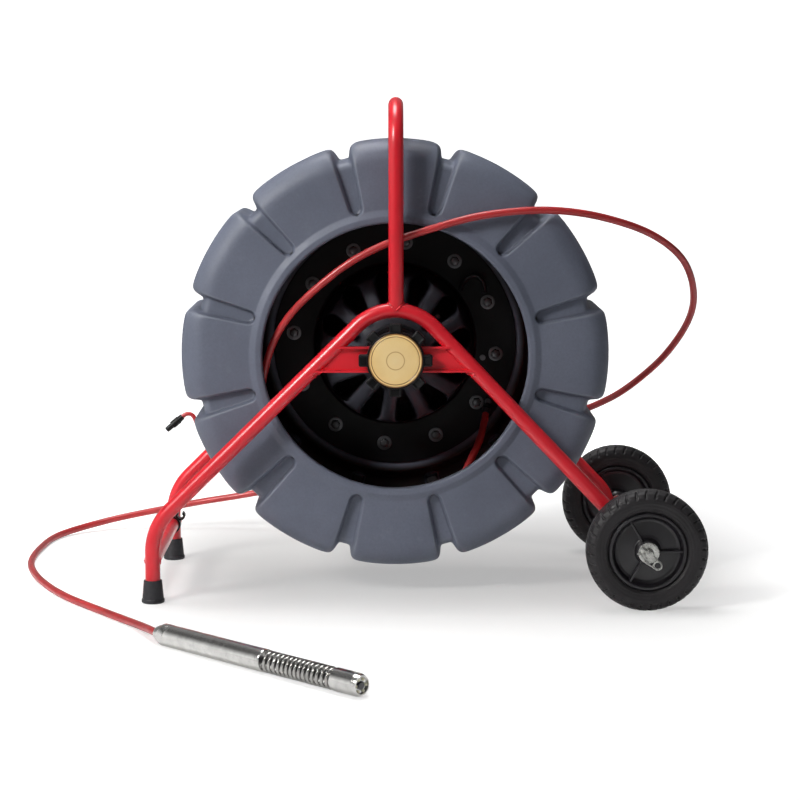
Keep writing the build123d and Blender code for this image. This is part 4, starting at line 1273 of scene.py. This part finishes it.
def camera_face():
    """Central window and six lamps; rows are (s back from the face, r)."""
    window = [(3.0, CORE), (3.0, 5.4), (1.4, 5.6), (1.0, 5.2), (0.8, 3.6), (0.72, 1.8),
              (0.7, CORE)]
    lamp = [(3.0, CORE), (3.0, 2.0), (1.6, 2.0), (1.1, 1.7), (0.85, 1.1), (0.78, CORE)]
    window, lamp = ([(CAMERA_END - s, r) for s, r in rows] for rows in (window, lamp))
    build("camera_window_lens", lathe_axis(window, HEAD, HEAD_DIR, 48), "glass", "camera_head",
          "window_glass", "camera_window")
    lamps = [lathe_axis(lamp, head_point(0, 8.4, math.radians(60 * k + 30)), HEAD_DIR, 20)
             for k in range(6)]
    build("camera_lamp_lenses", join(lamps), "led", "camera_head", "led_lens", "camera_leds")


head_sleeve()
camera_spring()
camera_face()

# ---------------------------------------------------------------- CAD pieces that stay
# piece: material, edge rounding in mm
KEEP = {
    "front_cross_channel": ("red_paint", 0.9), "rear_cross_channel": ("red_paint", 0.9),
    "cable_clip": ("black_knob", 0.4), "front_bush": ("bush", 0.3), "rear_bush": ("bush", 0.3),
    "plate_screws": ("dark_steel", 0.3), "hub_shaft": ("zinc", 0.6), "shaft_nut": ("zinc", 0.6),
    "brake_sleeve": ("zinc", 0.5), "brake_pad": ("pad", 0.3),
    "slip_ring_rotor": ("black_knob", 0.8), "slip_ring_housing": ("black_gloss", 0.6),
    "slip_ring_cover": ("zinc", 0.6), "camera_body": ("stainless", 0.35),
}
for name, (key, width) in KEEP.items():
    piece = frame["nodes"][name]
    for material_slot in piece.material_slots:
        material_slot.material = MAT[key]
    bevel = piece.modifiers.new("edge_round", "BEVEL")
    bevel.width = width / 1000
    bevel.segments = 3
    bevel.limit_method = "ANGLE"
    bevel.angle_limit = math.radians(40)
    bevel.harden_normals = True


# ---------------------------------------------------------------- floor, light, camera (m)
def studio_paper():
    """White paper, self-lit to the camera, with a soft shade painted under the frame."""
    s = Surface("studio_paper")
    paper = s.ramp(s.noise(s.coords(), scale=1.4, detail=3), [
        (0.3, (0.86, 0.86, 0.86)), (0.7, (0.90, 0.90, 0.90))])
    rays = s.node("LightPath").outputs
    distance = s.node("VectorMath")
    distance.operation = "LENGTH"
    s.feed(distance.inputs[0], s.tree.nodes["Texture Coordinate"].outputs["Object"])
    x, y, _ = s.xyz()
    far = s.remap(distance.outputs["Value"], span=(1.1, 3.4), to=(0.58, 0.95))
    near = s.remap(y, span=(-2.2, -1.4), to=(0.85, 0.0))

    def falloff(coordinate, centre, half_size, power, weight):
        """1 / (1 + weight * (offset / half_size) ** (2 * power))."""
        offset = s.math("DIVIDE", s.math("SUBTRACT", coordinate, centre), half_size)
        curve = s.math("POWER", s.math("MULTIPLY", offset, offset), power)
        return s.math("DIVIDE", 1.0, s.math("ADD", s.math("MULTIPLY", curve, weight), 1.0))

    shade_x = falloff(x, centre=0.06 + float(ORIGIN_M[0]), half_size=0.475, power=3.6, weight=0.7)
    shade_y = falloff(y, centre=0.14 + float(ORIGIN_M[1]), half_size=0.40, power=1.25, weight=0.6)
    shade = s.math("MULTIPLY", s.math("MULTIPLY", shade_x, shade_y), rays["Is Camera Ray"])
    # the near floor is dark in reflections
    paper = s.mix(s.math("MULTIPLY", rays["Is Glossy Ray"], near), paper, (0.02, 0.02, 0.02))
    open_glow = s.math("ADD", s.math("MULTIPLY", rays["Is Camera Ray"], far), 0.05)
    shade_change = s.math("MULTIPLY", shade, s.math("SUBTRACT", 0.42, open_glow))
    s.set({"Base Color": s.mix(shade, paper, (0.245, 0.24, 0.235)),
           "Roughness": 0.8,
           "Specular IOR Level": 0.1,
           "Emission Color": (1, 1, 1),
           "Emission Strength": s.math("ADD", open_glow, shade_change)})
    return s.material


def studio_floor():
    """Floor that curves up into a back wall."""
    half_width, bend_y, bend_r = 9.0, 3.2, 2.2
    rows = [(-6.0, 0.0), (bend_y, 0.0)]     # y, z
    for k in range(1, 13):
        a = math.radians(90) * k / 12
        rows.append((bend_y + bend_r * math.sin(a), bend_r - bend_r * math.cos(a)))
    rows.append((5.4, 7.0))
    verts = [(x, y, z) for y, z in rows for x in (-half_width, half_width)]
    faces = [(2 * i, 2 * i + 1, 2 * i + 3, 2 * i + 2) for i in range(len(rows) - 1)]
    data = bpy.data.meshes.new("studio_floor")
    data.from_pydata(verts, [], faces)
    for polygon in data.polygons:
        polygon.use_smooth = True
    data.materials.append(studio_paper())
    floor = bpy.data.objects.new("studio_floor", data)
    bpy.context.scene.collection.objects.link(floor)


def area_light(name, place, target, size, power, colour=(1, 1, 1)):
    """Square area light; place and target are from the floor point under the drum."""
    light = bpy.data.lights.new(name, "AREA")
    light.shape = "RECTANGLE"
    light.size = size
    light.size_y = size
    light.energy = power
    light.color = colour
    obj = bpy.data.objects.new(name, light)
    bpy.context.scene.collection.objects.link(obj)
    obj.location = Vector(place) + Vector(ORIGIN_M)
    obj.rotation_euler = (Vector(target) - Vector(place)).to_track_quat("-Z", "Y").to_euler()
    return light


def studio_world():
    """White to the camera; reflections see a low card at the left and a soft ceiling."""
    world = bpy.data.worlds.new("studio")
    bpy.context.scene.world = world
    world.use_nodes = True
    g = Graph(world.node_tree)
    background = g.tree.nodes["Background"]
    g.feed(background.inputs[0], (1.0, 1.0, 1.0))
    rays = g.node("LightPath").outputs
    x, _, z = g.xyz("Generated")
    left = g.remap(x, span=(-0.75, -0.25), to=(1.0, 0.0))
    low = g.remap(z, span=(0.10, 0.60), to=(1.0, 0.0))
    over = g.remap(z, span=(0.55, 0.90), to=(0.0, 0.16))
    card = g.math("MULTIPLY", g.math("MULTIPLY", left, low), 0.85)
    reflected = g.math("ADD", card, g.math("ADD", over, 0.05))
    glossy = rays["Is Glossy Ray"]
    ambient = g.math("MULTIPLY", g.math("SUBTRACT", 1.0, glossy), 0.105)
    seen = g.math("MULTIPLY", rays["Is Camera Ray"], 0.9)
    unseen = g.math("ADD", g.math("MULTIPLY", glossy, reflected), ambient)
    g.feed(background.inputs[1], g.math("ADD", unseen, seen))


def view_camera():
    tilt_down, yaw = 0.1281, -0.006     # radians
    data = bpy.data.cameras.new("view")
    camera = bpy.data.objects.new("view", data)
    bpy.context.scene.collection.objects.link(camera)
    camera.location = Vector((-0.01248, -3.35495, 0.71388)) + Vector(ORIGIN_M)
    camera.rotation_euler = (math.pi / 2 - tilt_down, 0.0, yaw)
    data.lens = 98.51
    data.sensor_width = 36.0
    data.clip_start = 0.05
    data.clip_end = 60
    bpy.context.scene.camera = camera
    settings = bpy.context.scene.view_settings
    settings.view_transform = "Standard"
    settings.look = "None"
    settings.exposure = 0.0


studio_floor()
key_light = area_light("key", (-2.5, -2.3, 2.5), target=(-0.45, 0, 0.6), size=1.1, power=7.2,
                       colour=(1.0, 0.99, 0.97))
key_light.spread = math.radians(36)
area_light("top", (-0.5, 0.3, 3.4), target=(0, 0, 0.3), size=1.4, power=66)
area_light("fill", (2.8, -2.8, 1.5), target=(0, 0, 0.35), size=1.2, power=1.5,
           colour=(0.96, 0.98, 1.0))
studio_world()
view_camera()

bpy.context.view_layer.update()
